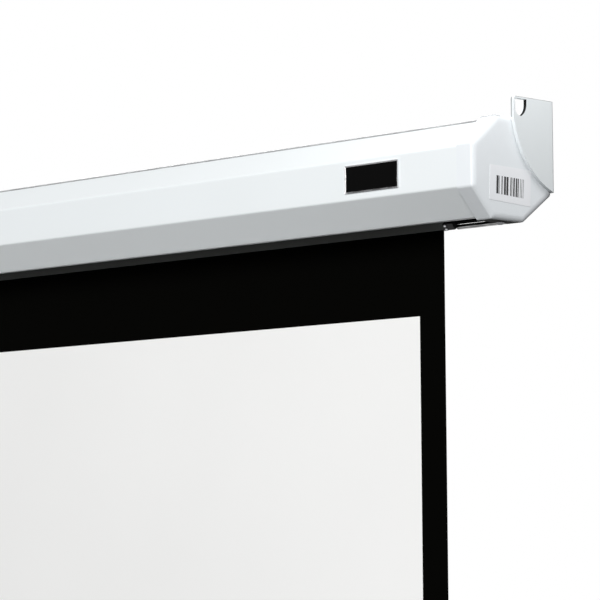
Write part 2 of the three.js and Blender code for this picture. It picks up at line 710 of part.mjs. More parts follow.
// Badge plate: a bare bevelled plate glued to the front face
function badgePlate() {
  const rightX = capFaceX - BADGE_TO_CAP_FACE;
  const seatY = capFrontY + caseInset - BADGE_GLUE;
  const outline = roundedBox(
    BADGE_WIDTH, BADGE_HEIGHT, BADGE_BEVEL * 2,
    rightX - BADGE_WIDTH / 2, -BADGE_TOP - BADGE_HEIGHT / 2);
  const face = prismY(
    shapeOf(outline), seatY - BADGE_THICKNESS + BADGE_BEVEL, seatY + BADGE_BEVEL,
    { bevelEnabled: true, bevelSize: BADGE_BEVEL, bevelOffset: -BADGE_BEVEL, bevelThickness: BADGE_BEVEL,
      bevelSegments: 1 });
  const behind = block(
    [rightX - BADGE_WIDTH - OVERRUN, seatY, -BADGE_TOP - BADGE_HEIGHT - OVERRUN],
    [rightX + OVERRUN, seatY + OVERRUN, -BADGE_TOP + OVERRUN]);
  return cut(face, behind);
}

// Fabric guide: a clip round the rear hem, clamped by two screws in its nose
const guideX = fabricWidth / 2 + GUIDE_EDGE_GAP;
const guideScrewX = guideX + GUIDE_SCREW_INSET;
const guideScrewDepths = [1, -1].map((side) => (HEM_THICKNESS + side * GUIDE_SCREW_SPACING) / 2);

function rightGuide() {
  const outline = roundedBox(
    GUIDE_NOSE + GUIDE_REACH, HEM_THICKNESS + 2 * GUIDE_LIP, GUIDE_BEVEL,
    (GUIDE_REACH - GUIDE_NOSE) / 2, HEM_THICKNESS / 2);
  const body = prismX(shapeOf(outline), guideX, guideX + GUIDE_LENGTH);
  const hemRoom = block(
    [guideX - OVERRUN, -SEAT_GAP, -SEAT_GAP],
    [guideX + GUIDE_LENGTH + OVERRUN, GUIDE_REACH + OVERRUN, HEM_THICKNESS + SEAT_GAP]);
  const bores = guideScrewDepths.map((depth) => turnedY(
    rodProfile(-GUIDE_NOSE - OVERRUN, -SEAT_GAP / 2, GUIDE_SCREW_RADIUS + SEAT_GAP), guideScrewX, depth));
  return onSlope(cut(body, hemRoom, ...bores));
}

function rightGuideScrew(depth) {
  const seat = -GUIDE_NOSE - SEAT_GAP / 2;
  return onSlope(turnedY(
    [
      [seat - GUIDE_SCREW_HEAD_HEIGHT, 0],
      [seat - GUIDE_SCREW_HEAD_HEIGHT, GUIDE_SCREW_CROWN_RADIUS],
      [seat, GUIDE_SCREW_HEAD_RADIUS],
      [seat, GUIDE_SCREW_RADIUS],
      [seat + GUIDE_SCREW_LENGTH, GUIDE_SCREW_RADIUS],
      [seat + GUIDE_SCREW_LENGTH, 0],
    ],
    guideScrewX, depth));
}

// Stations along the roller's axis, from the left plate inwards and from the right plate inwards
const collarStartX = -endPlateInnerX + SEAT_GAP;
const collarEndX = collarStartX + SPINDLE_COLLAR_LENGTH;
const ratchetHubX = collarEndX + SEAT_GAP;
const ratchetX = ratchetHubX + RATCHET_HUB_LENGTH;
const driveFlangeX = ratchetX + RATCHET_THICKNESS + SEAT_GAP;
const tubeStartX = driveFlangeX + DRIVE_FLANGE_THICKNESS + SEAT_GAP;
const driveInsertEndX = tubeStartX + DRIVE_INSERT;
const springBossEndX = driveInsertEndX + SPRING_BOSS_LENGTH;
const springStartX = driveInsertEndX + SPRING_WIRE_RADIUS + SEAT_GAP;
const springEndX = springStartX + SPRING_LENGTH;
const anchorEndX = springEndX + SPRING_WIRE_RADIUS + SEAT_GAP;
const anchorStartX = anchorEndX - ANCHOR_LENGTH;
const spindleEndX = collarEndX + SPINDLE_LENGTH;
const clipX = spindleEndX - SPINDLE_TAIL - CLIP_THICKNESS;
const bearingEndX = clipX - SEAT_GAP;
const idleNoseX = endPlateInnerX - SEAT_GAP - BUSH_FLANGE_THICKNESS - SEAT_GAP;
const tubeEndX = endPlateInnerX - IDLE_GAP_TO_PLATE - IDLE_FLANGE_THICKNESS;
const idleFlangeX = tubeEndX + SEAT_GAP;

function rollerTube() {
  return turnedX(ringProfile(tubeStartX, tubeEndX, tubeBore, TUBE_RADIUS), axisY, axisZ);
}

function fabricRoll() {
  const inner = TUBE_RADIUS + SEAT_GAP / 2;
  return turnedX(
    ringProfile(-fabricWidth / 2, fabricWidth / 2, inner, inner + WRAP_THICKNESS), axisY, axisZ);
}

function idlePlug() {
  const bore = PIN_RADIUS + SEAT_GAP;
  const profile = [
    [tubeEndX - PLUG_INSERT, bore],
    [tubeEndX - PLUG_INSERT, plugRadius],
    [idleFlangeX, plugRadius],
    [idleFlangeX, TUBE_RADIUS],
    [idleFlangeX + IDLE_FLANGE_THICKNESS, TUBE_RADIUS],
    [idleFlangeX + IDLE_FLANGE_THICKNESS, IDLE_NOSE_RADIUS],
    [idleNoseX, IDLE_NOSE_RADIUS],
    [idleNoseX, bore],
    [tubeEndX - PLUG_INSERT, bore],
  ];
  return turnedX(profile, axisY, axisZ);
}

function gudgeonPin() {
  const endX = endPlateOuterX + PIN_PROUD;
  const tip = PIN_RADIUS / 3;
  const profile = [
    [tubeEndX - PLUG_INSERT, 0],
    [tubeEndX - PLUG_INSERT, PIN_RADIUS],
    [endX - tip, PIN_RADIUS],
    [endX, PIN_RADIUS - tip],
    [endX, 0],
  ];
  return turnedX(profile, axisY, axisZ, SMALL_ROUND_STEPS);
}

function bearingBush() {
  const bore = PIN_RADIUS + SEAT_GAP;
  const flangeX = endPlateInnerX - SEAT_GAP - BUSH_FLANGE_THICKNESS;
  const profile = [
    [flangeX, bore],
    [flangeX, BUSH_FLANGE_RADIUS],
    [flangeX + BUSH_FLANGE_THICKNESS, BUSH_FLANGE_RADIUS],
    [flangeX + BUSH_FLANGE_THICKNESS, BUSH_RADIUS],
    [endPlateOuterX, BUSH_RADIUS],
    [endPlateOuterX, bore],
    [flangeX, bore],
  ];
  return turnedX(profile, axisY, axisZ);
}

// Spindle: flat blade in the plate's slot, collar against the plate, then a plain rod
function spindle() {
  const rod = turnedX(
    [
      [collarStartX, 0],
      [collarStartX, SPINDLE_COLLAR_RADIUS],
      [collarEndX, SPINDLE_COLLAR_RADIUS],
      [collarEndX, SPINDLE_RADIUS],
      [spindleEndX, SPINDLE_RADIUS],
      [spindleEndX, 0],
    ],
    axisY, axisZ, SMALL_ROUND_STEPS);
  const blade = block(
    [-endPlateOuterX - BLADE_PROUD, axisY - BLADE_THICKNESS / 2, axisZ - BLADE_HEIGHT / 2],
    [collarEndX - SPINDLE_COLLAR_LENGTH / 2, axisY + BLADE_THICKNESS / 2, axisZ + BLADE_HEIGHT / 2]);
  return join(rod, blade);
}

// Ratchet head: each notch has a steep face that stops a pawl's nose and a long flat way out
function ratchetHead() {
  const blank = turnedX(
    [
      [ratchetHubX, spindleBore],
      [ratchetHubX, RATCHET_HUB_RADIUS],
      [ratchetX, RATCHET_HUB_RADIUS],
      [ratchetX, RATCHET_RADIUS],
      [ratchetX + RATCHET_THICKNESS, RATCHET_RADIUS],
      [ratchetX + RATCHET_THICKNESS, spindleBore],
      [ratchetHubX, spindleBore],
    ],
    0, 0);
  const lean = THREE.MathUtils.degToRad(NOTCH_FACE_LEAN);
  const faceFoot = [-NOTCH_FLOOR_RADIUS * Math.tan(lean), NOTCH_FLOOR_RADIUS];
  const faceTop = [-RATCHET_RADIUS * Math.sin(lean) * 2, RATCHET_RADIUS * Math.cos(lean) * 2];
  const outline = [faceTop, faceFoot, [NOTCH_LENGTH, NOTCH_FLOOR_RADIUS], [NOTCH_LENGTH, faceTop[1]]];
  const notches = Array.from({ length: RATCHET_NOTCHES }, (_, i) => prismX(
    shapeOf(outline), ratchetX - SEAT_GAP, ratchetX + RATCHET_THICKNESS + SEAT_GAP,
  ).rotateX((i * 2 * Math.PI) / RATCHET_NOTCHES));
  return cut(blank, ...notches).translate(0, axisY, axisZ);
}

// Where a pawl turns, seen from the roller's axis; pawl 0 has its nose over the axis
function pawlPivot(index) {
  const angle = Math.PI / 2 - THREE.MathUtils.degToRad(PAWL_PIVOT_LAG) + (index * 2 * Math.PI) / PAWL_COUNT;
  return [PAWL_PIVOT_RADIUS * Math.cos(angle), PAWL_PIVOT_RADIUS * Math.sin(angle)];
}

const pawlStartX = ratchetX + (RATCHET_THICKNESS - PAWL_THICKNESS) / 2;

// Drive plug: flange with two pin holes, insert in the tube, boss for the spring's outer end
function drivePlug() {
  const flangeEnd = driveFlangeX + DRIVE_FLANGE_THICKNESS;
  const body = turnedX(
    [
      [driveFlangeX, spindleBore],
      [driveFlangeX, DRIVE_FLANGE_RADIUS],
      [flangeEnd, DRIVE_FLANGE_RADIUS],
      [flangeEnd, plugRadius],
      [driveInsertEndX, plugRadius],
      [driveInsertEndX, SPRING_BOSS_RADIUS],
      [springBossEndX, SPRING_BOSS_RADIUS],
      [springBossEndX, spindleBore],
      [driveFlangeX, spindleBore],
    ],
    axisY, axisZ);
  const holes = Array.from({ length: PAWL_COUNT }, (_, i) => {
    const [y, z] = pawlPivot(i);
    return turnedX(
      rodProfile(driveFlangeX - OVERRUN, flangeEnd + OVERRUN, PAWL_PIN_RADIUS + SEAT_GAP / 2),
      axisY + y, axisZ + z, SMALL_ROUND_STEPS);
  });
  return cut(body, ...holes);
}

// Pawl: a lever from its pivot boss to a nose that rides just clear of the ratchet's rim
function pawl(index) {
  const [pivotY, pivotZ] = pawlPivot(0);
  const rideRadius = RATCHET_RADIUS + SEAT_GAP;
  const lever = [
    [-PAWL_NOSE_HALF_WIDTH, rideRadius + PAWL_NOSE_HEIGHT],
    [-PAWL_NOSE_HALF_WIDTH, rideRadius],
    [PAWL_NOSE_HALF_WIDTH, rideRadius],
    [pivotY - PAWL_HEEL_SHIFT, pivotZ - PAWL_HEEL_DROP],
    [pivotY + PAWL_HEEL_SHIFT, pivotZ + PAWL_HEEL_RISE],
    [PAWL_NOSE_HALF_WIDTH, rideRadius + PAWL_NOSE_HEIGHT],
  ];
  const endX = pawlStartX + PAWL_THICKNESS;
  const boss = turnedX(
    rodProfile(pawlStartX, endX, PAWL_BOSS_RADIUS), pivotY, pivotZ, PAWL_STEPS);
  const hole = turnedX(
    rodProfile(pawlStartX - OVERRUN, endX + OVERRUN, PAWL_PIN_RADIUS + SEAT_GAP),
    pivotY, pivotZ, PAWL_STEPS);
  return cut(join(prismX(shapeOf(lever), pawlStartX, endX), boss), hole)
    .rotateX((index * 2 * Math.PI) / PAWL_COUNT)
    .translate(0, axisY, axisZ);
}

function pawlPin(index) {
  const [y, z] = pawlPivot(index);
  const headX = pawlStartX - SEAT_GAP;
  const profile = [
    [headX - PAWL_PIN_HEAD_HEIGHT, 0],
    [headX - PAWL_PIN_HEAD_HEIGHT, PAWL_PIN_HEAD_RADIUS],
    [headX, PAWL_PIN_HEAD_RADIUS],
    [headX, PAWL_PIN_RADIUS],
    [driveFlangeX + DRIVE_FLANGE_THICKNESS, PAWL_PIN_RADIUS],
    [driveFlangeX + DRIVE_FLANGE_THICKNESS, 0],
  ];
  return turnedX(profile, axisY + y, axisZ + z, PAWL_STEPS);
}

// Torsion spring: one unbroken wire wound round the boss, the spindle and the anchor
class Helix extends THREE.Curve {
  constructor(from, to, radius, turns) {
    super();
    Object.assign(this, { from, to, radius, turns });
  }

  getPoint(t, target = new THREE.Vector3()) {
    const angle = 2 * Math.PI * this.turns * t;
    return target.set(
      THREE.MathUtils.lerp(this.from, this.to, t),
      this.radius * Math.cos(angle),
      this.radius * Math.sin(angle));
  }
}

function torsionSpring() {
  const coilInside = (SPRING_BOSS_RADIUS + SEAT_GAP) / Math.cos(Math.PI / SPRING_STEPS_PER_TURN);
  const coilRadius = coilInside + SPRING_WIRE_RADIUS;
  const path = new Helix(springStartX, springEndX, coilRadius, SPRING_TURNS);
  const section = new THREE.Shape(Array.from({ length: SPRING_SIDES }, (_, i) => {
    const angle = (2 * Math.PI * i) / SPRING_SIDES;
    return new THREE.Vector2(SPRING_WIRE_RADIUS * Math.cos(angle), SPRING_WIRE_RADIUS * Math.sin(angle));
  }));
  return new THREE.ExtrudeGeometry(section, {
    steps: SPRING_TURNS * SPRING_STEPS_PER_TURN, extrudePath: path, bevelEnabled: false,
  }).translate(0, axisY, axisZ);
}

function springAnchor() {
  return turnedX(
    ringProfile(anchorStartX, anchorEndX, spindleBore, SPRING_BOSS_RADIUS), axisY, axisZ);
}

function spindleBearing() {
  return turnedX(
    ringProfile(bearingEndX - BEARING_LENGTH, bearingEndX, spindleBore, plugRadius), axisY, axisZ);
}

function spindleClip() {
  const bore = SPINDLE_RADIUS + SEAT_GAP / 2;
  const ring = turnedX(
    ringProfile(clipX, clipX + CLIP_THICKNESS, bore, CLIP_RADIUS), axisY, axisZ, SMALL_ROUND_STEPS);
  const mouth = block(
    [clipX - OVERRUN, axisY - bore / 2, axisZ - CLIP_RADIUS - OVERRUN],
    [clipX + OVERRUN, axisY + bore / 2, axisZ]);
  return cut(ring, mouth);
}

// Screen: one sheet from the roller's rear side down to the rod in the weight bar
const sheetTopZ = axisZ;
const sheetBottomZ = barTopZ - BAR_NECK_HEIGHT;

function screenFabric() {
  return block(
    [-fabricWidth / 2, -FABRIC_TO_WALL - FABRIC_THICKNESS / 2, sheetBottomZ],
    [fabricWidth / 2, -FABRIC_TO_WALL + FABRIC_THICKNESS / 2, sheetTopZ]);
}

// Weight bar: rounded hollow extrusion with a groove along its top
const barMiddleZ = barTopZ - BAR_HEIGHT / 2;
const barHalfLength = fabricWidth / 2 + BAR_OVERHANG;

function grooveOutline() {
  const centreZ = -BAR_NECK_HEIGHT - Math.sqrt(GROOVE_RADIUS ** 2 - (BAR_NECK / 2) ** 2);
  const start = Math.acos(BAR_NECK / 2 / GROOVE_RADIUS);
  const sweep = 2 * Math.PI - 2 * (Math.PI / 2 - start);
  const circle = Array.from({ length: SMALL_ROUND_STEPS + 1 }, (_, i) => {
    const angle = Math.PI - start + (sweep * i) / SMALL_ROUND_STEPS;
    return [GROOVE_RADIUS * Math.cos(angle), centreZ + GROOVE_RADIUS * Math.sin(angle)];
  });
  return { centreZ, points: [[-BAR_NECK / 2, OVERRUN], ...circle, [BAR_NECK / 2, OVERRUN]] };
}

function barHollowOutline(clearance) {
  const width = BAR_DEPTH - 2 * BAR_WALL - 2 * clearance;
  const height = BAR_HEIGHT - GROOVE_FLOOR - BAR_WALL - 2 * clearance;
  const middle = barTopZ - BAR_HEIGHT + BAR_WALL + clearance + height / 2;
  return roundedBox(width, height, BAR_CORNER_RADIUS - BAR_WALL - clearance, -FABRIC_TO_WALL, middle);
}

function weightBar() {
  const skin = shapeOf(roundedBox(BAR_DEPTH, BAR_HEIGHT, BAR_CORNER_RADIUS, -FABRIC_TO_WALL, barMiddleZ));
  const groove = grooveOutline().points.map(([y, z]) => [y - FABRIC_TO_WALL, z + barTopZ]);
  const endX = barHalfLength + OVERRUN;
  return cut(
    prismX(skin, -barHalfLength, barHalfLength),
    prismX(shapeOf(groove), -endX, endX),
    prismX(shapeOf(barHollowOutline(0)), -endX, endX));
}

function retainingRod() {
  const z = barTopZ + grooveOutline().centreZ;
  return turnedX(
    rodProfile(-fabricWidth / 2, fabricWidth / 2, ROD_RADIUS), -FABRIC_TO_WALL, z, SMALL_ROUND_STEPS);
}

function rightBarCap() {
  const faceX = barHalfLength + SEAT_GAP;
  const outline = roundedBox(
    BAR_DEPTH + 2 * BAR_CAP_PROUD, BAR_HEIGHT + 2 * BAR_CAP_PROUD, BAR_CORNER_RADIUS + BAR_CAP_PROUD,
    -FABRIC_TO_WALL, barMiddleZ);
  const domed = prismX(
    shapeOf(outline), faceX - BAR_CAP_BEVEL, faceX + BAR_CAP_THICKNESS - BAR_CAP_BEVEL,
    { bevelEnabled: true, bevelSize: BAR_CAP_BEVEL, bevelOffset: -BAR_CAP_BEVEL,
      bevelThickness: BAR_CAP_BEVEL, bevelSegments: 2 });
  const behind = block(
    [faceX - OVERRUN, -FABRIC_TO_WALL - BAR_DEPTH, barTopZ - 2 * BAR_HEIGHT],
    [faceX, -FABRIC_TO_WALL + BAR_DEPTH, barTopZ + BAR_HEIGHT]);
  const plug = prismX(
    shapeOf(barHollowOutline(SEAT_GAP)), faceX - BAR_PLUG_LENGTH, faceX + BAR_CAP_THICKNESS / 2);
  return join(cut(domed, behind), plug);
}

// Handle bracket: a band round the lower half of the bar with two ears for the pin
const bandBottomZ = barTopZ - BAR_HEIGHT - SEAT_GAP - BRACKET_BAND;
const handlePinZ = bandBottomZ - BRACKET_EAR_DROP + BRACKET_EAR_RADIUS;
const bracketScrewZ = barMiddleZ - BRACKET_SCREW_HEAD_RADIUS - SEAT_GAP;

function handleBracket() {
  const around = (clearance) => roundedBox(
    BAR_DEPTH + 2 * clearance, BAR_HEIGHT + 2 * clearance, BAR_CORNER_RADIUS + clearance,
    -FABRIC_TO_WALL, barMiddleZ);
  const halfWidth = BRACKET_WIDTH / 2;
  const band = cut(
    prismX(shapeOf(around(SEAT_GAP + BRACKET_BAND)), -halfWidth, halfWidth),
    prismX(shapeOf(around(SEAT_GAP)), -halfWidth - OVERRUN, halfWidth + OVERRUN),
    block(
      [-halfWidth - OVERRUN, -FABRIC_TO_WALL - BAR_DEPTH, barMiddleZ],
      [halfWidth + OVERRUN, -FABRIC_TO_WALL + BAR_DEPTH, barTopZ + BAR_HEIGHT]));
  const ears = [-halfWidth, halfWidth - BRACKET_EAR_THICKNESS].map((x) => bracketEar(x));
  const pinBore = turnedX(
    rodProfile(-halfWidth - OVERRUN, halfWidth + OVERRUN, HANDLE_PIN_RADIUS + SEAT_GAP / 2),
    -FABRIC_TO_WALL, handlePinZ, SMALL_ROUND_STEPS);
  const screwHoles = [-1, 1].map((side) => turnedY(
    rodProfile(0, BAR_DEPTH, BRACKET_SCREW_RADIUS + SEAT_GAP), 0, 0,
  ).rotateZ(((1 - side) * Math.PI) / 2).translate(0, -FABRIC_TO_WALL, bracketScrewZ));
  return cut(join(band, ...ears), pinBore, ...screwHoles);
}

function bracketEar(x) {
  const overlap = BRACKET_BAND / 2;
  const arc = Array.from({ length: SMALL_ROUND_STEPS / 2 + 1 }, (_, i) => {
    const angle = Math.PI + (Math.PI * i) / (SMALL_ROUND_STEPS / 2);
    return [
      -FABRIC_TO_WALL + BRACKET_EAR_RADIUS * Math.cos(angle),
      handlePinZ + BRACKET_EAR_RADIUS * Math.sin(angle),
    ];
  });
  const outline = [
    [-FABRIC_TO_WALL - BRACKET_EAR_RADIUS, bandBottomZ + overlap],
    ...arc,
    [-FABRIC_TO_WALL + BRACKET_EAR_RADIUS, bandBottomZ + overlap],
  ];
  return prismX(shapeOf(outline), x, x + BRACKET_EAR_THICKNESS);
}

function bracketScrew(side) {
  const seat = BAR_DEPTH / 2 + SEAT_GAP + BRACKET_BAND + SEAT_GAP / 2;
  return turnedY(
    [
      [seat - BRACKET_SCREW_LENGTH, 0],
      [seat - BRACKET_SCREW_LENGTH, BRACKET_SCREW_RADIUS],
      [seat, BRACKET_SCREW_RADIUS],
      [seat, BRACKET_SCREW_HEAD_RADIUS],
      [seat + BRACKET_SCREW_HEAD_HEIGHT, BRACKET_SCREW_HEAD_RADIUS / 2],
      [seat + BRACKET_SCREW_HEAD_HEIGHT, 0],
    ],
    0, 0,
  ).rotateZ(((1 - side) * Math.PI) / 2).translate(0, -FABRIC_TO_WALL, bracketScrewZ);
}

// The bar's walls are drilled for the two bracket screws
function drilledBar() {
  const holes = [-1, 1].map((side) => turnedY(
    rodProfile(BAR_DEPTH / 2 - 2 * BAR_WALL, BAR_DEPTH, BRACKET_SCREW_RADIUS + SEAT_GAP), 0, 0,
  ).rotateZ(((1 - side) * Math.PI) / 2).translate(0, -FABRIC_TO_WALL, bracketScrewZ));
  return cut(weightBar(), ...holes);
}

function handlePin() {
  const shoulder = BRACKET_WIDTH / 2 + SEAT_GAP / 2;
  const head = shoulder + HANDLE_PIN_HEAD_HEIGHT;
  const profile = [
    [-head, 0],
    [-head, HANDLE_PIN_HEAD_RADIUS],
    [-shoulder, HANDLE_PIN_HEAD_RADIUS],
    [-shoulder, HANDLE_PIN_RADIUS],
    [shoulder, HANDLE_PIN_RADIUS],
    [shoulder, HANDLE_PIN_HEAD_RADIUS],
    [head, HANDLE_PIN_HEAD_RADIUS],
    [head, 0],
  ];
  return turnedX(profile, -FABRIC_TO_WALL, handlePinZ, SMALL_ROUND_STEPS);
}

// Pull handle: a barrel on the pin and a flat moulded ring that widens downwards
function pullHandle() {
  const topZ = handlePinZ - HANDLE_SHOULDER_DROP;
  const bottomZ = topZ - HANDLE_HEIGHT;
  const ring = (margin) => rounded([
    [-HANDLE_TOP_WIDTH / 2 + margin, topZ - margin],
    [-HANDLE_BOTTOM_WIDTH / 2 + margin, bottomZ + margin],
    [HANDLE_BOTTOM_WIDTH / 2 - margin, bottomZ + margin],
    [HANDLE_TOP_WIDTH / 2 - margin, topZ - margin],
  ], HANDLE_CORNER_RADIUS - margin / 2);
  const shape = shapeOf(ring(0));
  shape.holes.push(new THREE.Path(ring(HANDLE_RING).map(([x, z]) => new THREE.Vector2(x, z))));
  const half = HANDLE_THICKNESS / 2;
  const loop = prismY(
    shape, -FABRIC_TO_WALL - half + HANDLE_BEVEL, -FABRIC_TO_WALL + half - HANDLE_BEVEL,
    { bevelEnabled: true, bevelSize: HANDLE_BEVEL, bevelOffset: -HANDLE_BEVEL,
      bevelThickness: HANDLE_BEVEL, bevelSegments: 2 });
  const inside = BRACKET_WIDTH / 2 - BRACKET_EAR_THICKNESS - SEAT_GAP;
  const barrel = turnedX(
    rodProfile(-inside, inside, HANDLE_BARREL_RADIUS), -FABRIC_TO_WALL, handlePinZ, SMALL_ROUND_STEPS);
  const neck = block(
    [-inside + HANDLE_BEVEL, -FABRIC_TO_WALL - half + HANDLE_BEVEL, topZ - HANDLE_RING / 2],
    [inside - HANDLE_BEVEL, -FABRIC_TO_WALL + half - HANDLE_BEVEL, handlePinZ]);
  const bore = turnedX(
    rodProfile(-inside - OVERRUN, inside + OVERRUN, HANDLE_PIN_RADIUS + SEAT_GAP),
    -FABRIC_TO_WALL, handlePinZ, SMALL_ROUND_STEPS);
  return cut(join(loop, barrel, neck), bore);
}

// The assembly
const screen = new THREE.Group();

function add(name, geometry, material) {
  const mesh = new THREE.Mesh(geometry, material);
  mesh.name = name;
  screen.add(mesh);
}

// The same piece at both ends of the case
function addPair(name, geometry, material) {
  add(`right_${name}`, geometry, material);
  add(`left_${name}`, mirrored(geometry), material);
}

add('case_shell', drilledCase(), enamel);
addPair('end_cap', rightEndCap(), moulding);
addPair('mounting_plate', rightMountingPlate(), plateEnamel);
add('right_end_plate', rightEndPlate(), zinc);
add('left_end_plate', leftEndPlate(), zinc);
addPair('cap_screw', rightCapScrew(), zinc);
['lower', 'upper'].forEach((level, i) => addPair(`flange_rivet_${level}`, rightRivet(rivetHeights[i]), zinc));
add('badge_plate', badgePlate(), badgeBlack);
addPair('fabric_guide', rightGuide(), blackPlastic);
['upper', 'lower'].forEach(
  (level, i) => addPair(`guide_screw_${level}`, rightGuideScrew(guideScrewDepths[i]), zinc));

add('spindle', spindle(), zinc);
add('ratchet_head', ratchetHead(), zinc);
add('spring_anchor', springAnchor(), nylon);
add('spindle_clip', spindleClip(), springSteel);
add('bearing_bush', bearingBush(), nylon);

add('roller_tube', rollerTube(), tubeMetal);
add('drive_plug', drivePlug(), nylon);
['a', 'b'].forEach((letter, i) => {
  add(`pawl_${letter}`, pawl(i), springSteel);
  add(`pawl_pin_${letter}`, pawlPin(i), zinc);
});
add('torsion_spring', torsionSpring(), springSteel);
add('spindle_bearing', spindleBearing(), nylon);
add('idle_plug', idlePlug(), nylon);
add('gudgeon_pin', gudgeonPin(), zinc);
add('fabric_roll', fabricRoll(), blackCloth);
add('screen_fabric', screenFabric(), screenCloth);

add('weight_bar', drilledBar(), enamel);
addPair('bar_cap', rightBarCap(), blackPlastic);
add('retaining_rod', retainingRod(), nylon);
add('handle_bracket', handleBracket(), moulding);
add('bracket_screw_front', bracketScrew(-1), zinc);
add('bracket_screw_back', bracketScrew(1), zinc);
add('handle_pin', handlePin(), zinc);
add('pull_handle', pullHandle(), moulding);

export default screen;
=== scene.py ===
"""Looks of a wall-hung pull-down projector screen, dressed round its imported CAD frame."""

from __future__ import annotations

import json
import logging
import math
from dataclasses import dataclass
from enum import Enum
from typing import Any, Callable, Sequence

import bmesh
import bpy
from mathutils import Matrix, Vector


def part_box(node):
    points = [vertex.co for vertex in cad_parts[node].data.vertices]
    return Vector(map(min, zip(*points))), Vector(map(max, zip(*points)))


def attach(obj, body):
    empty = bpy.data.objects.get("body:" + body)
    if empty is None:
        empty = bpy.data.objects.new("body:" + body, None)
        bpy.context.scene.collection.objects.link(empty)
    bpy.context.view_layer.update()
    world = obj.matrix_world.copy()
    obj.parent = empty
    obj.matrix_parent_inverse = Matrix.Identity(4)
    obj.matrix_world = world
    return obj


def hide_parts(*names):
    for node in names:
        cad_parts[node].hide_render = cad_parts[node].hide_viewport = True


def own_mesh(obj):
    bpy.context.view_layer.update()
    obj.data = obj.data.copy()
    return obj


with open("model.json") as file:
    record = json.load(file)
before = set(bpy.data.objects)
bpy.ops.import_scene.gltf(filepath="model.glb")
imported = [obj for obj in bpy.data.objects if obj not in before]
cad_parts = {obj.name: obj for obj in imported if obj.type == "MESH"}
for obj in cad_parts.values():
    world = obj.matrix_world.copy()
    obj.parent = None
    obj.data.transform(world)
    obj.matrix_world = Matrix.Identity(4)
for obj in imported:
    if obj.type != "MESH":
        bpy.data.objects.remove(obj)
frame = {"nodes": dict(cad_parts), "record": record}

LOG = logging.getLogger("projector_screen")
MM = 0.001

# A Wave node turns through this many radians in each metre at scale 1
WAVE_TURN = 20.0

# The middle level of a noise
MIDDLE = 0.5

# A flat face looks along an axis if its normal has more than this share of it
FACING = 0.5

Colour = tuple[float, float, float]
Place = tuple[float, float, float]
Stops = tuple[tuple[float, float], ...]
Span = tuple[Vector, Vector]


def rgba(colour: Colour) -> tuple[float, float, float, float]:
    """Gives a colour its opaque fourth number."""
    return (*colour, 1.0)


# Shader arithmetic


class Signal:
    """One output socket of a node tree, with arithmetic that adds its Math nodes."""

    def __init__(self, recipe: "Recipe", socket: bpy.types.NodeSocket | None) -> None:
        """Keeps the socket and the recipe that its nodes go into."""
        self.recipe = recipe
        self.socket = socket

    def _math(self, operation: str, first: Any, second: Any) -> "Signal":
        """Adds one Math node on two operands."""
        return self.recipe.node("ShaderNodeMath", {"operation": operation}, {0: first, 1: second})

    def __add__(self, other: Any) -> "Signal":
        """Adds."""
        return self._math("ADD", self, other)

    def __radd__(self, other: Any) -> "Signal":
        """Adds, with a plain number first."""
        return self._math("ADD", other, self)

    def __sub__(self, other: Any) -> "Signal":
        """Subtracts."""
        return self._math("SUBTRACT", self, other)

    def __rsub__(self, other: Any) -> "Signal":
        """Subtracts from a plain number."""
        return self._math("SUBTRACT", other, self)

    def __mul__(self, other: Any) -> "Signal":
        """Multiplies."""
        return self._math("MULTIPLY", self, other)

    def __rmul__(self, other: Any) -> "Signal":
        """Multiplies, with a plain number first."""
        return self._math("MULTIPLY", other, self)

    def __gt__(self, other: Any) -> "Signal":
        """Is 1 where this is greater."""
        return self._math("GREATER_THAN", self, other)

    def __lt__(self, other: Any) -> "Signal":
        """Is 1 where this is less."""
        return self._math("LESS_THAN", self, other)

    def larger(self, other: Any) -> "Signal":
        """Takes the larger of the two."""
        return self._math("MAXIMUM", self, other)

    def size(self) -> "Signal":
        """Drops the sign."""
        return self._math("ABSOLUTE", self, 0.0)

    def whole(self) -> "Signal":
        """Rounds down to a whole number."""
        return self._math("FLOOR", self, 0.0)

    def within(self, low: float, high: float) -> "Signal":
        """Is 1 between two values and 0 outside them."""
        return (self > low) * (self < high)


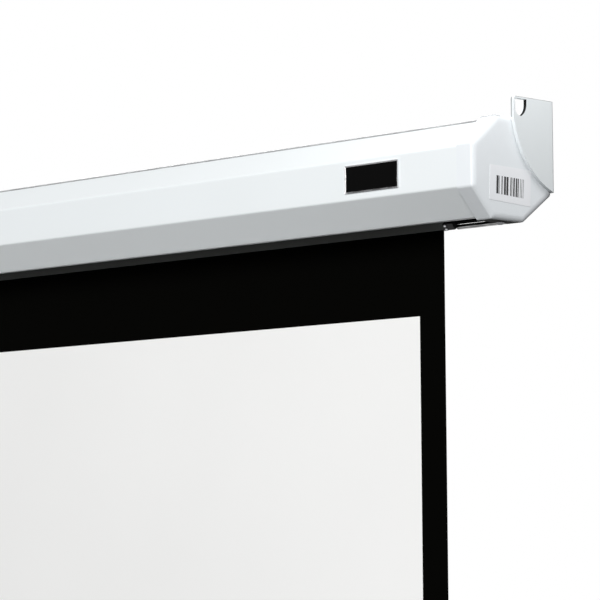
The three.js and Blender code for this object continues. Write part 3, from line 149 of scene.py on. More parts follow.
class Recipe:
    """A node tree while it is being written."""

    def __init__(self, tree: bpy.types.NodeTree) -> None:
        """Empties the tree."""
        self.tree = tree
        tree.nodes.clear()

    def node(
        self,
        kind: str,
        settings: dict[str, Any] | None = None,
        sockets: dict[int | str, Any] | None = None,
        output: int | str = 0,
    ) -> Signal:
        """Adds a node.

        Args:
            kind: the node's type.
            settings: its own settings, set first; stops are a ramp's (position, colour) pairs.
            sockets: what its inputs hold, each a plain value or a signal to link.
            output: the output that the signal reads.

        Returns:
            The signal of that output.
        """
        made = self.tree.nodes.new(kind)
        for key, value in (settings or {}).items():
            if key == "stops":
                self._set_stops(made, value)
            else:
                setattr(made, key, value)
        for key, value in (sockets or {}).items():
            if isinstance(value, Signal):
                self.tree.links.new(value.socket, made.inputs[key])
            else:
                made.inputs[key].default_value = value
        return Signal(self, made.outputs[output]) if made.outputs else Signal(self, None)

    def _set_stops(self, ramp: bpy.types.Node, stops: Stops) -> None:
        """Puts grey stops on a colour ramp.

        Args:
            ramp: the ramp's node.
            stops: the position and grey level of each stop.
        """
        elements = ramp.color_ramp.elements
        while len(elements) < len(stops):
            elements.new(1.0)
        for element, (position, level) in zip(elements, stops):
            element.position = position
            element.color = (level, level, level, 1.0)

    def place(self, stretch: Place = (1.0, 1.0, 1.0)) -> Signal:
        """Gives the place on the piece in metres, stretched for a pattern."""
        here = self.node("ShaderNodeTexCoord", output="Object")
        return self.node("ShaderNodeMapping", {}, {"Vector": here, "Scale": stretch})

    def noise(self, scale: float, detail: float = 3.0, stretch: Place = (1.0, 1.0, 1.0)) -> Signal:
        """Gives soft noise of so many waves in a metre, with so many finer layers."""
        sockets = {"Vector": self.place(stretch), "Scale": scale, "Detail": detail}
        return self.node("ShaderNodeTexNoise", {}, sockets)

    def ramp(self, signal: Signal, stops: Stops) -> Signal:
        """Maps a signal through grey stops."""
        return self.node("ShaderNodeValToRGB", {"stops": stops}, {0: signal})

    def blend(self, factor: Any, first: Any, second: Any) -> Signal:
        """Mixes two colours; plain ones are given as three numbers.

        Args:
            factor: the share of the second colour.
            first: the colour where the factor is 0.
            second: the colour where the factor is 1.

        Returns:
            The mixed colour.
        """
        pair = [c if isinstance(c, Signal) else rgba(c) for c in (first, second)]
        # The colours' sockets come after those for numbers and for vectors
        return self.node(
            "ShaderNodeMix", {"data_type": "RGBA"}, {0: factor, 6: pair[0], 7: pair[1]}, output=2
        )

    def inside(self, low: Place, high: Place) -> Signal:
        """Is 1 inside a box and inside its mirror image across the middle of the case.

        Args:
            low: the box's corner with the least of each.
            high: the opposite corner; both have x above 0.

        Returns:
            1 inside and 0 outside.
        """
        here = self.node("ShaderNodeTexCoord", output="Object")
        parts = [self.node("ShaderNodeSeparateXYZ", {}, {0: here}, output=axis) for axis in range(3)]
        parts[0] = parts[0].size()
        held = [part.within(*ends) for part, ends in zip(parts, zip(low, high))]
        return held[0] * held[1] * held[2]

    def bump(self, height: Signal, depth: float) -> Signal:
        """Turns a height into a normal; the depth is in metres."""
        return self.node("ShaderNodeBump", {}, {"Height": height, "Distance": depth})

    def surface(self, sockets: dict[str, Any]) -> None:
        """Ends the tree in a Principled surface with these sockets."""
        shader = self.node("ShaderNodeBsdfPrincipled", {}, sockets)
        self.node("ShaderNodeOutputMaterial", {}, {"Surface": shader})


# Finishes


@dataclass(frozen=True)
class Finish:
    """What every finish has: its name, its colour, how rough it is and where it has dark bands.

    Each dark band lies in a box of two corners, the same at both ends of the case. On the hem bead
    the bands are painted shade; on the case, caps and plates they are thin dark lines along edges.
    """

    name: str
    colour: Colour
    roughness: float
    edges: tuple[tuple[Place, Place], ...] = ()
    rubbed: Colour = (0.12, 0.12, 0.125)
    rubbing: float = 0.85
    rubbing_scale: float = 60.0
    rubbing_stops: Stops = ((0.3, 0.7), (0.6, 1.0))

    def material(self) -> bpy.types.Material:
        """Makes the Blender material of this finish.

        Returns:
            The material.
        """
        made = bpy.data.materials.new(self.name)
        made.use_nodes = True
        self.write(Recipe(made.node_tree))
        return made

    def write(self, recipe: Recipe) -> None:
        """Writes the finish's nodes."""
        raise NotImplementedError

    def tinted(self, recipe: Recipe, mask: Signal, share: float) -> Signal:
        """Gives the colour, darkened by a share of itself under the mask and in its dark bands.

        Args:
            recipe: the node tree that the colour is written into.
            mask: where the colour darkens.
            share: how much of the colour goes there.

        Returns:
            The colour.
        """
        darker = tuple(c * (1.0 - share) for c in self.colour)
        colour = recipe.blend(mask, self.colour, darker)
        # Dark bands in patches: painted shade on the hem bead, thin dark lines along edges on the
        # case, caps and plates
        for low, high in self.edges:
            patches = recipe.ramp(recipe.noise(self.rubbing_scale), self.rubbing_stops)
            banded = recipe.inside(low, high) * patches * self.rubbing
            colour = recipe.blend(banded, colour, self.rubbed)
        return colour


@dataclass(frozen=True)
class Enamel(Finish):
    """Sprayed and baked enamel on sheet steel: slight orange peel, faint handling marks."""

    peel_scale: float = 650.0
    peel_depth: float = 0.02 * MM
    cloud_scale: float = 9.0
    cloud_stops: Stops = ((0.3, 0.0), (0.7, 1.0))
    cloudiness: float = 0.015
    smudge_scale: float = 38.0
    smudge_stretch: Place = (0.4, 1.0, 1.0)
    smudging: float = 0.16
    specular: float = 0.3

    def write(self, recipe: Recipe) -> None:
        """Writes cloudy colour, smudged gloss and the sprayed skin's bump.

        Args:
            recipe: the node tree that the finish is written into.
        """
        clouds = recipe.ramp(recipe.noise(self.cloud_scale), self.cloud_stops)
        smudges = recipe.noise(self.smudge_scale, detail=4.0, stretch=self.smudge_stretch)
        peel = recipe.noise(self.peel_scale, detail=2.0)
        recipe.surface(
            {
                "Base Color": self.tinted(recipe, clouds, self.cloudiness),
                "Roughness": self.roughness + (smudges - MIDDLE) * self.smudging,
                "Specular IOR Level": self.specular,
                "Normal": recipe.bump(peel, self.peel_depth),
            }
        )


@dataclass(frozen=True)
class Moulding(Finish):
    """Injection moulding: a fine spark-eroded skin and slow flow clouds."""

    grain_depth: float = 0.02 * MM
    grain_scale: float = 1500.0
    cloud_scale: float = 26.0
    cloud_stops: Stops = ((0.32, 0.0), (0.68, 1.0))
    cloudiness: float = 0.03
    cloud_dulling: float = 0.1
    specular: float = 0.3

    def write(self, recipe: Recipe) -> None:
        """Writes the moulded skin.

        Args:
            recipe: the node tree that the finish is written into.
        """
        clouds = recipe.ramp(recipe.noise(self.cloud_scale), self.cloud_stops)
        grain = recipe.noise(self.grain_scale)
        recipe.surface(
            {
                "Base Color": self.tinted(recipe, clouds, self.cloudiness),
                "Roughness": self.roughness + (clouds - MIDDLE) * self.cloud_dulling,
                "Specular IOR Level": self.specular,
                "Normal": recipe.bump(grain, self.grain_depth),
            }
        )


@dataclass(frozen=True)
class BareMetal(Finish):
    """Drawn, ground or plated metal, with its grain along one direction."""

    grain_scale: float = 1400.0
    grain_stretch: Place = (0.04, 1.0, 1.0)
    grain_depth: float = 0.012 * MM
    grain_dulling: float = 0.12
    tarnish_scale: float = 90.0
    tarnish_stops: Stops = ((0.42, 0.0), (0.62, 1.0))
    tarnish: float = 0.3
    tarnish_dulling: float = 0.14

    def write(self, recipe: Recipe) -> None:
        """Writes the metal's grain and its dull patches.

        Args:
            recipe: the node tree that the finish is written into.
        """
        lines = recipe.noise(self.grain_scale, stretch=self.grain_stretch)
        patches = recipe.ramp(recipe.noise(self.tarnish_scale, detail=4.0), self.tarnish_stops)
        dulling = patches * self.tarnish_dulling + (lines - MIDDLE) * self.grain_dulling
        recipe.surface(
            {
                "Base Color": self.tinted(recipe, patches, self.tarnish),
                "Metallic": 1.0,
                "Roughness": self.roughness + dulling,
                "Normal": recipe.bump(lines, self.grain_depth),
            }
        )


@dataclass(frozen=True)
class CoatedCloth(Finish):
    """Coated cloth: a matt skin with the threads of the backing pressed through it."""

    lit_thread: Colour = (0.002, 0.002, 0.002)
    thread_pitch: float = 0.55 * MM
    thread_sway: float = 1.2
    thread_height: float = 0.4
    fleck_scale: float = 900.0
    fleck_height: float = 0.5
    emboss_depth: float = 0.03 * MM
    fleck_dulling: float = 0.08
    specular: float = 0.01

    def write(self, recipe: Recipe) -> None:
        """Writes cloth of one colour."""
        flecks = recipe.noise(self.fleck_scale)
        self.skin(recipe, recipe.blend(flecks, self.colour, self.lit_thread))

    def skin(self, recipe: Recipe, colour: Signal) -> None:
        """Writes the cloth's skin under a colour signal.

        Args:
            recipe: the node tree that the finish is written into.
            colour: the cloth's colour.
        """
        scale = 2.0 * math.pi / self.thread_pitch / WAVE_TURN
        threads = [
            recipe.node(
                "ShaderNodeTexWave",
                {"bands_direction": direction},
                {
                    "Vector": recipe.place(),
                    "Scale": scale,
                    "Distortion": self.thread_sway,
                    "Detail": 2.0,
                },
                output=1,
            )
            for direction in ("X", "Z")
        ]
        flecks = recipe.noise(self.fleck_scale)
        woven = threads[0] * self.thread_height + threads[1] * self.thread_height
        height = woven + flecks * self.fleck_height
        recipe.surface(
            {
                "Base Color": colour,
                "Roughness": self.roughness + (flecks - MIDDLE) * self.fleck_dulling,
                "Specular IOR Level": self.specular,
                "Normal": recipe.bump(height, self.emboss_depth),
            }
        )


@dataclass(frozen=True)
class PictureCloth(CoatedCloth):
    """The screen's face: white inside a black border, under a grey leader that stays in the case.

    All are placed by the sheet's UV map.
    """

    border: Colour = (0.0014, 0.0014, 0.0011)
    clouded: Colour = (0.88, 0.88, 0.87)
    cloud_scale: float = 5.0
    cloud_stops: Stops = ((0.3, 0.0), (0.7, 1.0))
    leader: Colour = (0.56, 0.58, 0.56)
    width: float = 1.0
    height: float = 1.0
    side_border: float = 0.0
    top_border: float = 0.0
    leader_height: float = 0.0

    def write(self, recipe: Recipe) -> None:
        """Writes the white area, its border and the leader.

        Args:
            recipe: the node tree that the finish is written into.
        """
        where = recipe.node("ShaderNodeUVMap", {"uv_map": "sheet"})
        across = recipe.node("ShaderNodeSeparateXYZ", {}, {0: where}, output=0) * self.width
        up = recipe.node("ShaderNodeSeparateXYZ", {}, {0: where}, output=1) * self.height
        inside = across.within(self.side_border, self.width - self.side_border)
        white = inside * (up < self.height - self.top_border)
        clouds = recipe.ramp(recipe.noise(self.cloud_scale), self.cloud_stops)
        face = recipe.blend(clouds, self.colour, self.clouded)
        dark = recipe.blend(up > self.height - self.leader_height, self.border, self.leader)
        self.skin(recipe, recipe.blend(white, dark, face))


@dataclass(frozen=True)
class StickerPaper(Finish):
    """A bare paper sticker with a plain block of bars that stands for nothing."""

    ink: Colour = (0.012, 0.012, 0.014)
    bar_count: float = 84.0
    gap_share: float = 0.36
    block_from: tuple[float, float] = (0.16, 0.2)
    block_to: tuple[float, float] = (0.82, 0.72)
    fibre_scale: float = 1200.0
    fibre_depth: float = 0.01 * MM
    fibre_dulling: float = 0.1

    def write(self, recipe: Recipe) -> None:
        """Writes paper and the block of bars.

        Args:
            recipe: the node tree that the finish is written into.
        """
        where = recipe.node("ShaderNodeUVMap", {"uv_map": "sheet"})
        across = recipe.node("ShaderNodeSeparateXYZ", {}, {0: where}, output=0)
        up = recipe.node("ShaderNodeSeparateXYZ", {}, {0: where}, output=1)
        step = (across * self.bar_count).whole()
        chance = recipe.node("ShaderNodeTexWhiteNoise", {"noise_dimensions": "1D"}, {"W": step})
        block = across.within(self.block_from[0], self.block_to[0])
        block = block * up.within(self.block_from[1], self.block_to[1])
        fibres = recipe.noise(self.fibre_scale)
        inked = block * (chance > self.gap_share)
        recipe.surface(
            {
                "Base Color": recipe.blend(inked, self.colour, self.ink),
                "Roughness": self.roughness + (fibres - MIDDLE) * self.fibre_dulling,
                "Normal": recipe.bump(fibres, self.fibre_depth),
            }
        )


@dataclass(frozen=True)
class Sheet:
    """The screen's cloth, in metres."""

    width: float = 1273 * MM
    thickness: float = 0.4 * MM
    plane_y: float = -34.9 * MM
    tangent_z: float = -41 * MM
    leader_bottom_z: float = -80.9 * MM
    white_top_z: float = -148.2 * MM
    white_bottom_z: float = -1062.2 * MM
    side_border: float = 27 * MM

    @property
    def drop(self) -> float:
        """The cloth's height from the roller to the lower edge of the white area."""
        return self.tangent_z - self.white_bottom_z


SHEET = Sheet()


class Coat(Enum):
    """Every finish on the screen."""

    CASE = Enamel(
        "case_enamel",
        (0.825, 0.862, 0.875),
        0.36,
        # A thin dark line along the case's top bend
        edges=(((-1.0, -67.4 * MM, -4.4 * MM), (1.0, -62.0 * MM, 0.0)),),
    )
    # Near-black painted shade for the case's inside, the slot's rear lip and the caps' bottom flats
    CASE_INSIDE = Enamel("case_inside_primer", (0.008, 0.008, 0.008), 0.7, specular=0.05)
    PLATE = Enamel(
        "plate_enamel",
        (0.745, 0.782, 0.795),
        0.42,
        cloudiness=0.03,
        # Thin dark lines along the tab's front edge and along the plate's top edge
        edges=(
            ((720 * MM, -50 * MM, -1 * MM), (721.8 * MM, -48 * MM, 16 * MM)),
            ((720 * MM, -50 * MM, 15.2 * MM), (724 * MM, 0.0, 16 * MM)),
        ),
    )
    CUT_EDGE = Moulding("blackened_cut_edge", (0.008, 0.008, 0.008), 0.6, specular=0.1)
    CAP = Moulding(
        "cap_moulding",
        (0.82, 0.855, 0.88),
        0.42,
        # A thin dark line along the cap's top front edge
        edges=(((-1.0, -68.5 * MM, -1.7 * MM), (1.0, -60.0 * MM, 0.2 * MM)),),
        rubbing=0.5,
    )
    ZINC = BareMetal("zinc_plate", (0.72, 0.73, 0.75), 0.28)
    SPRING = BareMetal("oiled_spring_steel", (0.25, 0.26, 0.28), 0.34)
    TUBE = BareMetal("drawn_tube", (0.56, 0.57, 0.58), 0.38)
    NYLON = Moulding("natural_nylon", (0.7, 0.68, 0.61), 0.5)
    BLACK = Moulding("black_moulding", (0.012, 0.012, 0.013), 0.45)
    BADGE = Moulding(
        "badge_black", (0.002, 0.002, 0.002), 0.25, grain_depth=0.0, cloudiness=0.0, specular=0.02
    )
    BADGE_RIM = BareMetal("badge_rim", (0.6, 0.6, 0.61), 0.22, tarnish=0.1)
    STICKER = StickerPaper("sticker_paper", (0.86, 0.875, 0.9), 0.55)
    PICTURE = PictureCloth(
        "picture_cloth",
        (0.9, 0.9, 0.89),
        0.9,
        width=SHEET.width,
        height=SHEET.drop,
        side_border=SHEET.side_border,
        top_border=SHEET.tangent_z - SHEET.white_top_z,
        leader_height=SHEET.tangent_z - SHEET.leader_bottom_z,
    )
    CLOTH_BORDER = CoatedCloth("cloth_border", (0.0014, 0.0014, 0.0011), 0.9)
    CLOTH_BACK = CoatedCloth(
        "cloth_back", (0.006, 0.006, 0.0065), 0.8, lit_thread=(0.016, 0.016, 0.017), specular=0.08
    )
    BAR = Enamel("bar_powder_coat", (0.84, 0.85, 0.86), 0.45, peel_depth=0.03 * MM)
    # The two near-black bands along the hem bead are painted shade between its bright streaks
    BEAD = BareMetal(
        "hem_bead",
        (0.5, 0.5, 0.5),
        0.3,
        edges=(
            ((-1.0, -36 * MM, -79.7 * MM), (1.0, -26 * MM, -76 * MM)),
            ((-1.0, -36 * MM, -80.7 * MM), (1.0, -26 * MM, -80.3 * MM)),
        ),
        rubbed=(0.004, 0.004, 0.004),
        rubbing=1.0,
    )
    # Near-black end plates: painted shade where they show under the case
    DARK_PLATE = BareMetal("blackened_plate", (0.035, 0.035, 0.037), 0.5)
    # Dark grey cap screws: painted shade, the head darkened as it sits in shade under the case
    DARK_SCREW = BareMetal("blackened_screw", (0.24, 0.24, 0.25), 0.25)
    HANDLE = Moulding("handle_moulding", (0.74, 0.76, 0.78), 0.36)


class Side(Enum):
    """The two ends of the case."""

    RIGHT = 1
    LEFT = -1

    @property
    def word(self) -> str:
        """The end's name in node names."""
        return self.name.lower()


# Making pieces


@dataclass(frozen=True)
class Easing:
    """How a piece's sharp edges are rounded over."""

    width: float = 0.25 * MM
    segments: int = 2
    angle: float = 34.0


class Bench:
    """Makes finished pieces from bmeshes and from CAD nodes, and seats them on their bodies."""

    weld_distance: float = 0.002 * MM
    flat_angle: float = 0.4
    sharp_angle: float = 30.0

    def __init__(self) -> None:
        """Makes every material once and notes which body carries each node."""
        self.materials = {coat: coat.value.material() for coat in Coat}
        groups = frame["record"]["behaviour"]["bodies"]
        self.carrier = {node: body for body, nodes in groups.items() for node in nodes}
        self.slots = {s["node"]: s["material_slot"] for s in frame["record"]["subparts"]}

    def welded(self, node: str) -> bmesh.types.BMesh:
        """Copies a CAD node's mesh, merges its loose triangles and joins what lies flat.

        Args:
            node: the CAD node.

        Returns:
            The merged copy, in place.
        """
        mesh = bmesh.new()
        mesh.from_mesh(frame["nodes"][node].data)
        bmesh.ops.remove_doubles(mesh, verts=mesh.verts, dist=self.weld_distance)
        flat = math.radians(self.flat_angle)
        bmesh.ops.dissolve_limit(mesh, angle_limit=flat, verts=mesh.verts, edges=mesh.edges)
        for layer in list(mesh.loops.layers.uv):
            mesh.loops.layers.uv.remove(layer)
        return mesh

    def finish(
        self,
        name: str,
        mesh: bmesh.types.BMesh,
        coats: Sequence[Coat],
        body: str,
        replaces: Sequence[str] = (),
        easing: Easing | None = Easing(),
    ) -> bpy.types.Object:
        """Turns a bmesh into a piece.

        Args:
            name: the piece's name.
            mesh: its shape, in place; it is freed.
            coats: its finishes, in the order of the faces' material indices.
            body: the body that it rides on.
            replaces: the CAD nodes that it stands for.
            easing: how its sharp edges are rounded, if at all.

        Returns:
            The piece's object.
        """
        data = bpy.data.meshes.new(name)
        mesh.to_mesh(data)
        mesh.free()
        for coat in coats:
            data.materials.append(self.materials[coat])
        data.shade_smooth()
        piece = bpy.data.objects.new(name, data)
        bpy.context.scene.collection.objects.link(piece)
        if easing:
            bevel = piece.modifiers.new("eased_edges", "BEVEL")
            bevel.width = easing.width
            bevel.segments = easing.segments
            bevel.limit_method = "ANGLE"
            bevel.angle_limit = math.radians(easing.angle)
            bevel.use_clamp_overlap = True
        else:
            data.set_sharp_from_angle(angle=math.radians(self.sharp_angle))
        level = piece.modifiers.new("flat_faces_flat", "WEIGHTED_NORMAL")
        level.keep_sharp = True
        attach(piece, body)
        if replaces:
            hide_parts(*replaces)
        LOG.info("made %s with %d faces", name, len(data.polygons))
        return piece

    def dress(
        self,
        node: str,
        coat: Coat,
        easing: Easing | None = Easing(),
        shape: Callable[[bmesh.types.BMesh], None] | None = None,
        more: Sequence[Coat] = (),
    ) -> bpy.types.Object:
        """Makes a finished copy of a CAD node that stands for it.

        Args:
            node: the CAD node.
            coat: its finish.
            easing: how its sharp edges are rounded.
            shape: a change to the copied mesh, if it needs one.
            more: further finishes for faces that the change marks.

        Returns:
            The piece's object.
        """
        mesh = self.welded(node)
        if shape:
            shape(mesh)
        coats = [coat, *more]
        return self.finish(
            f"{node}_dressed", mesh, coats, self.carrier[node], [node], easing
        )

    def coat_node(self, node: str, coat: Coat) -> None:
        """Keeps a CAD node as it is and gives it its finish.

        Args:
            node: the CAD node.
            coat: its finish.
        """
        data = frame["nodes"][node].data
        data.materials.clear()
        data.materials.append(self.materials[coat])
        LOG.info("coated %s", node)


def slab(low: Sequence[float], high: Sequence[float]) -> bmesh.types.BMesh:
    """Makes a closed block between two corners, in metres.

    Args:
        low: the corner with the least of each.
        high: the opposite corner.

    Returns:
        The block's mesh.
    """
    mesh = bmesh.new()
    size = Vector(high) - Vector(low)
    middle = (Vector(high) + Vector(low)) / 2
    matrix = Matrix.Translation(middle) @ Matrix.Diagonal((*size, 1.0))
    bmesh.ops.create_cube(mesh, size=1.0, matrix=matrix)
    return mesh


def lay_out(mesh: bmesh.types.BMesh, across: int, up: int) -> None:
    """Gives a mesh the UV map sheet: its box spread over the unit square along two axes.

    Args:
        mesh: the mesh that gets the map.
        across: the axis that the map's U follows.
        up: the axis that the map's V follows.
    """
    uv = mesh.loops.layers.uv.new("sheet")
    places = [v.co for v in mesh.verts]
    low = [min(p[axis] for p in places) for axis in (across, up)]
    size = [max(p[axis] for p in places) - low[i] for i, axis in enumerate((across, up))]
    for face in mesh.faces:
        for loop in face.loops:
            place = loop.vert.co
            loop[uv].uv = ((place[across] - low[0]) / size[0], (place[up] - low[1]) / size[1])


@dataclass
class CrossScrew:
    """A pan-head screw with a cross recess, made along +Z with its seat at z 0."""

    head_radius: float
    head_height: float
    shank_radius: float
    shank_length: float
    recess_share: float = 0.62
    recess_reach: float = 0.9
    recess_depth: float = 0.55
    slot_share: float = 0.16
    crown_level: float = 0.99
    tip_share: float = 0.6
    tip_length: float = 0.5
    head_profile: tuple[tuple[float, float], ...] = (
        (1.0, 0.0),
        (1.0, 0.35),
        (0.93, 0.66),
        (0.72, 0.92),
    )
    merge: float = 1e-7
    steps: int = 24

    def build(self) -> bmesh.types.BMesh:
        """Spins the screw's outline and sinks the cross in its crown.

        Returns:
            The screw's mesh, about the origin.
        """
        mesh = bmesh.new()
        crown = self.head_height
        outline = [
            (0.0, -self.shank_length),
            (self.shank_radius * self.tip_share, -self.shank_length),
            (self.shank_radius, self.shank_radius * self.tip_length - self.shank_length),
            (self.shank_radius, 0.0),
            *((self.head_radius * out, crown * up) for out, up in self.head_profile),
            (self.head_radius * self.recess_share, crown),
            (0.0, crown),
        ]
        line = [mesh.verts.new((radius, 0.0, z)) for radius, z in outline]
        edges = [mesh.edges.new(pair) for pair in zip(line, line[1:])]
        bmesh.ops.spin(
            mesh,
            geom=line + edges,
            cent=(0, 0, 0),
            axis=(0, 0, 1),
            angle=2 * math.pi,
            steps=self.steps,
            use_merge=True,
            use_duplicate=False,
        )
        bmesh.ops.remove_doubles(mesh, verts=mesh.verts, dist=self.merge)
        bmesh.ops.recalc_face_normals(mesh, faces=mesh.faces)
        self._sink_cross(mesh)
        return mesh

    def _sink_cross(self, mesh: bmesh.types.BMesh) -> None:
        """Cuts the crown along the cross's four sides and pushes the cross in.

        Args:
            mesh: the spun screw.
        """
        half = self.head_radius * self.slot_share
        level = self.head_height * self.crown_level
        for axis in ((1, 0, 0), (0, 1, 0)):
            for side in (-half, half):
                crown = [f for f in mesh.faces if min(v.co.z for v in f.verts) > level]
                edges = dict.fromkeys(e for f in crown for e in f.edges)
                verts = dict.fromkeys(v for f in crown for v in f.verts)
                bmesh.ops.bisect_plane(
                    mesh,
                    geom=[*verts, *edges, *crown],
                    plane_co=Vector(axis) * side,
                    plane_no=axis,
                    dist=self.merge,
                )
        reach = self.head_radius * self.recess_share * self.recess_reach
        cross = [
            f
            for f in mesh.faces
            if min(v.co.z for v in f.verts) > level
            and min(abs(f.calc_center_median().x), abs(f.calc_center_median().y)) < half
            and f.calc_center_median().length_squared < reach**2 + self.head_height**2
        ]
        sunk = bmesh.ops.extrude_face_region(mesh, geom=cross)
        moved = [v for v in sunk["geom"] if isinstance(v, bmesh.types.BMVert)]
        bmesh.ops.translate(mesh, verts=moved, vec=(0, 0, -self.head_height * self.recess_depth))
        bmesh.ops.delete(mesh, geom=cross, context="FACES_ONLY")


# The case and what is fixed to it


@dataclass
class Housing:
    """The folded case, its end caps and plates, the badge, the sticker and the fasteners."""

    axis_y: float = -55.2 * MM
    axis_z: float = -41 * MM
    cap_face: float = 720.5 * MM
    cap_bottom: float = -81.5 * MM
    bottom_lean: float = 0.97
    rear_lip_y: float = -40 * MM
    rear_lip_lean: float = 0.7
    end_face_lean: float = 0.5
    eye_wall_lean: float = 0.3
    eye_front_y: float = -47.6 * MM
    eye_rear_y: float = -33.8 * MM
    eye_bottom_z: float = 0.1 * MM
    eye_top_z: float = 14 * MM
    screw_head_height: float = 1.9 * MM
    screw_radius: float = 1.55 * MM
    screw_length: float = 8.8 * MM
    sticker_thickness: float = 0.12 * MM
    sticker_glue: float = 0.02 * MM
    sticker_corners: tuple[tuple[float, float], ...] = (
        (-74.1, -39.8),
        (-75.3, -67.1),
        (-27.5, -69.4),
        (-25.6, -40.8),
    )
    badge_rim: float = 0.9 * MM
    badge_edge: float = 0.3 * MM
    bead_radius: float = 2.05 * MM
    bead_place: tuple[float, float] = (-31.2 * MM, -79.3 * MM)
    bead_gap: float = 0.3 * MM
    bead_segments: int = 20

    def build(self, bench: Bench) -> None:
        """Builds every fixed piece of the case.

        Args:
            bench: where the pieces are made.
        """
        # The case's inside and the slot's rear lip get painted shade
        bench.dress("case_shell", Coat.CASE, shape=self._mark_inside, more=[Coat.CASE_INSIDE])
        self._hem_bead(bench)
        self._badge(bench)
        self._sticker(bench)
        for side in Side:
            self._end(bench, side)

    def _mark_inside(self, mesh: bmesh.types.BMesh) -> None:
        """Gives painted shade, the near-black finish, to the faces that look at the roller and to
        the slot's rear lip.

        Args:
            mesh: the copied mesh, changed in place.
        """
        for face in mesh.faces:
            centre = face.calc_center_median()
            to_axis = Vector((0.0, self.axis_y - centre.y, self.axis_z - centre.z))
            rear_lip = face.normal.y < -self.rear_lip_lean and centre.y > self.rear_lip_y
            inner = face.normal.dot(to_axis) > 0 and abs(face.normal.x) < self.end_face_lean
            if rear_lip or inner:
                face.material_index = 1

    def _mark_underside(self, mesh: bmesh.types.BMesh) -> None:
        """Gives the cap's bottom flat painted shade, the near-black finish.

        Args:
            mesh: the copied mesh, changed in place.
        """
        for face in mesh.faces:
            low = face.calc_center_median().z < self.cap_bottom
            if low and face.normal.z < -self.bottom_lean:
                face.material_index = 1

    def _mark_eye(self, mesh: bmesh.types.BMesh) -> None:
        """Gives the rear cut wall of the hanging eye a near-black finish.

        Args:
            mesh: the copied mesh, changed in place.
        """
        for face in mesh.faces:
            centre = face.calc_center_median()
            across = self.eye_front_y < centre.y < self.eye_rear_y
            up = self.eye_bottom_z < centre.z < self.eye_top_z
            if across and up and face.normal.y < -self.eye_wall_lean:
                face.material_index = 1

    def _hem_bead(self, bench: Bench) -> None:
        """Rolls the bead under the slot's rear hem, in three lengths that the guides part.

        Args:
            bench: where the pieces are made.
        """
        caps = [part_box(f"{side.word}_end_cap") for side in Side]
        guides = [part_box(f"{side.word}_fabric_guide") for side in Side]
        stretches = (
            (caps[1][1].x, guides[1][0].x),
            (guides[1][1].x, guides[0][0].x),
            (guides[0][1].x, caps[0][0].x),
        )
        mesh = bmesh.new()
        for start, end in stretches:
            turn = Matrix.Rotation(math.pi / 2, 4, "Y")
            place = Matrix.Translation((start + self.bead_gap, *self.bead_place)) @ turn
            ring = bmesh.ops.create_circle(
                mesh,
                cap_ends=True,
                radius=self.bead_radius,
                segments=self.bead_segments,
                matrix=place,
            )
            disc = list(ring["verts"][0].link_faces)
            grown = bmesh.ops.extrude_face_region(mesh, geom=disc)
            moved = [v for v in grown["geom"] if isinstance(v, bmesh.types.BMVert)]
            bmesh.ops.translate(mesh, verts=moved, vec=(end - start - 2 * self.bead_gap, 0, 0))
        bmesh.ops.recalc_face_normals(mesh, faces=mesh.faces)
        bench.finish("rear_hem_bead", mesh, [Coat.BEAD], "case", easing=Easing(0.15 * MM))

    def _end(self, bench: Bench, side: Side) -> None:
        """Builds the cap, plate, guide and fasteners of one end.

        Args:
            bench: where the pieces are made.
            side: the end of the case.
        """
        word = side.word
        # The cap's bottom flat gets painted shade
        bench.dress(
            f"{word}_end_cap",
            Coat.CAP,
            Easing(0.45 * MM, 3),
            shape=self._mark_underside,
            more=[Coat.CASE_INSIDE],
        )
        bench.dress(
            f"{word}_mounting_plate",
            Coat.PLATE,
            Easing(0.35 * MM, 3),
            shape=self._mark_eye,
            more=[Coat.CUT_EDGE],
        )
        # End plate in near-black: painted shade
        bench.dress(f"{word}_end_plate", Coat.DARK_PLATE, Easing(0.1 * MM, 1))
        bench.dress(f"{word}_fabric_guide", Coat.BLACK)
        self._cap_screw(bench, side)
        for level in ("lower", "upper"):
            bench.dress(f"{word}_flange_rivet_{level}", Coat.ZINC, Easing(0.1 * MM))
            bench.dress(f"{word}_guide_screw_{level}", Coat.ZINC, Easing(0.1 * MM))

    def _cap_screw(self, bench: Bench, side: Side) -> None:
        """Builds the screw that holds the cap from below.

        Args:
            bench: where the pieces are made.
            side: the end of the case.
        """
        node = f"{side.word}_cap_screw"
        low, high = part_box(node)
        head = self.screw_head_height
        screw = CrossScrew((high.x - low.x) / 2, head, self.screw_radius, self.screw_length)
        mesh = screw.build()
        centre = (low + high) / 2
        seat = Vector((centre.x, centre.y, low.z + head))
        turn = Matrix.Rotation(math.pi, 4, "X")
        bmesh.ops.transform(mesh, matrix=Matrix.Translation(seat) @ turn, verts=mesh.verts)
        # Dark grey head: painted shade
        bench.finish(
            f"{node}_dressed",
            mesh,
            [Coat.DARK_SCREW],
            "case",
            [node],
            Easing(0.08 * MM, 1),
        )

    def _badge(self, bench: Bench) -> None:
        """Builds the bare badge: a black plate with bright, drawn-in sides.

        Args:
            bench: where the pieces are made.
        """
        low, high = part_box("badge_plate")
        mesh = slab(low, high)
        front = [f for f in mesh.faces if f.normal.y < -FACING]
        rim = list(front[0].verts)
        bmesh.ops.inset_region(mesh, faces=front, thickness=self.badge_rim, use_even_offset=True)
        bmesh.ops.translate(mesh, verts=rim, vec=(0, high.y - low.y - self.badge_edge, 0))
        for face in mesh.faces:
            face.material_index = 0 if face is front[0] else 1
        bench.finish(
            "badge_dressed",
            mesh,
            [Coat.BADGE, Coat.BADGE_RIM],
            "case",
            ["badge_plate"],
            Easing(0.12 * MM),
        )

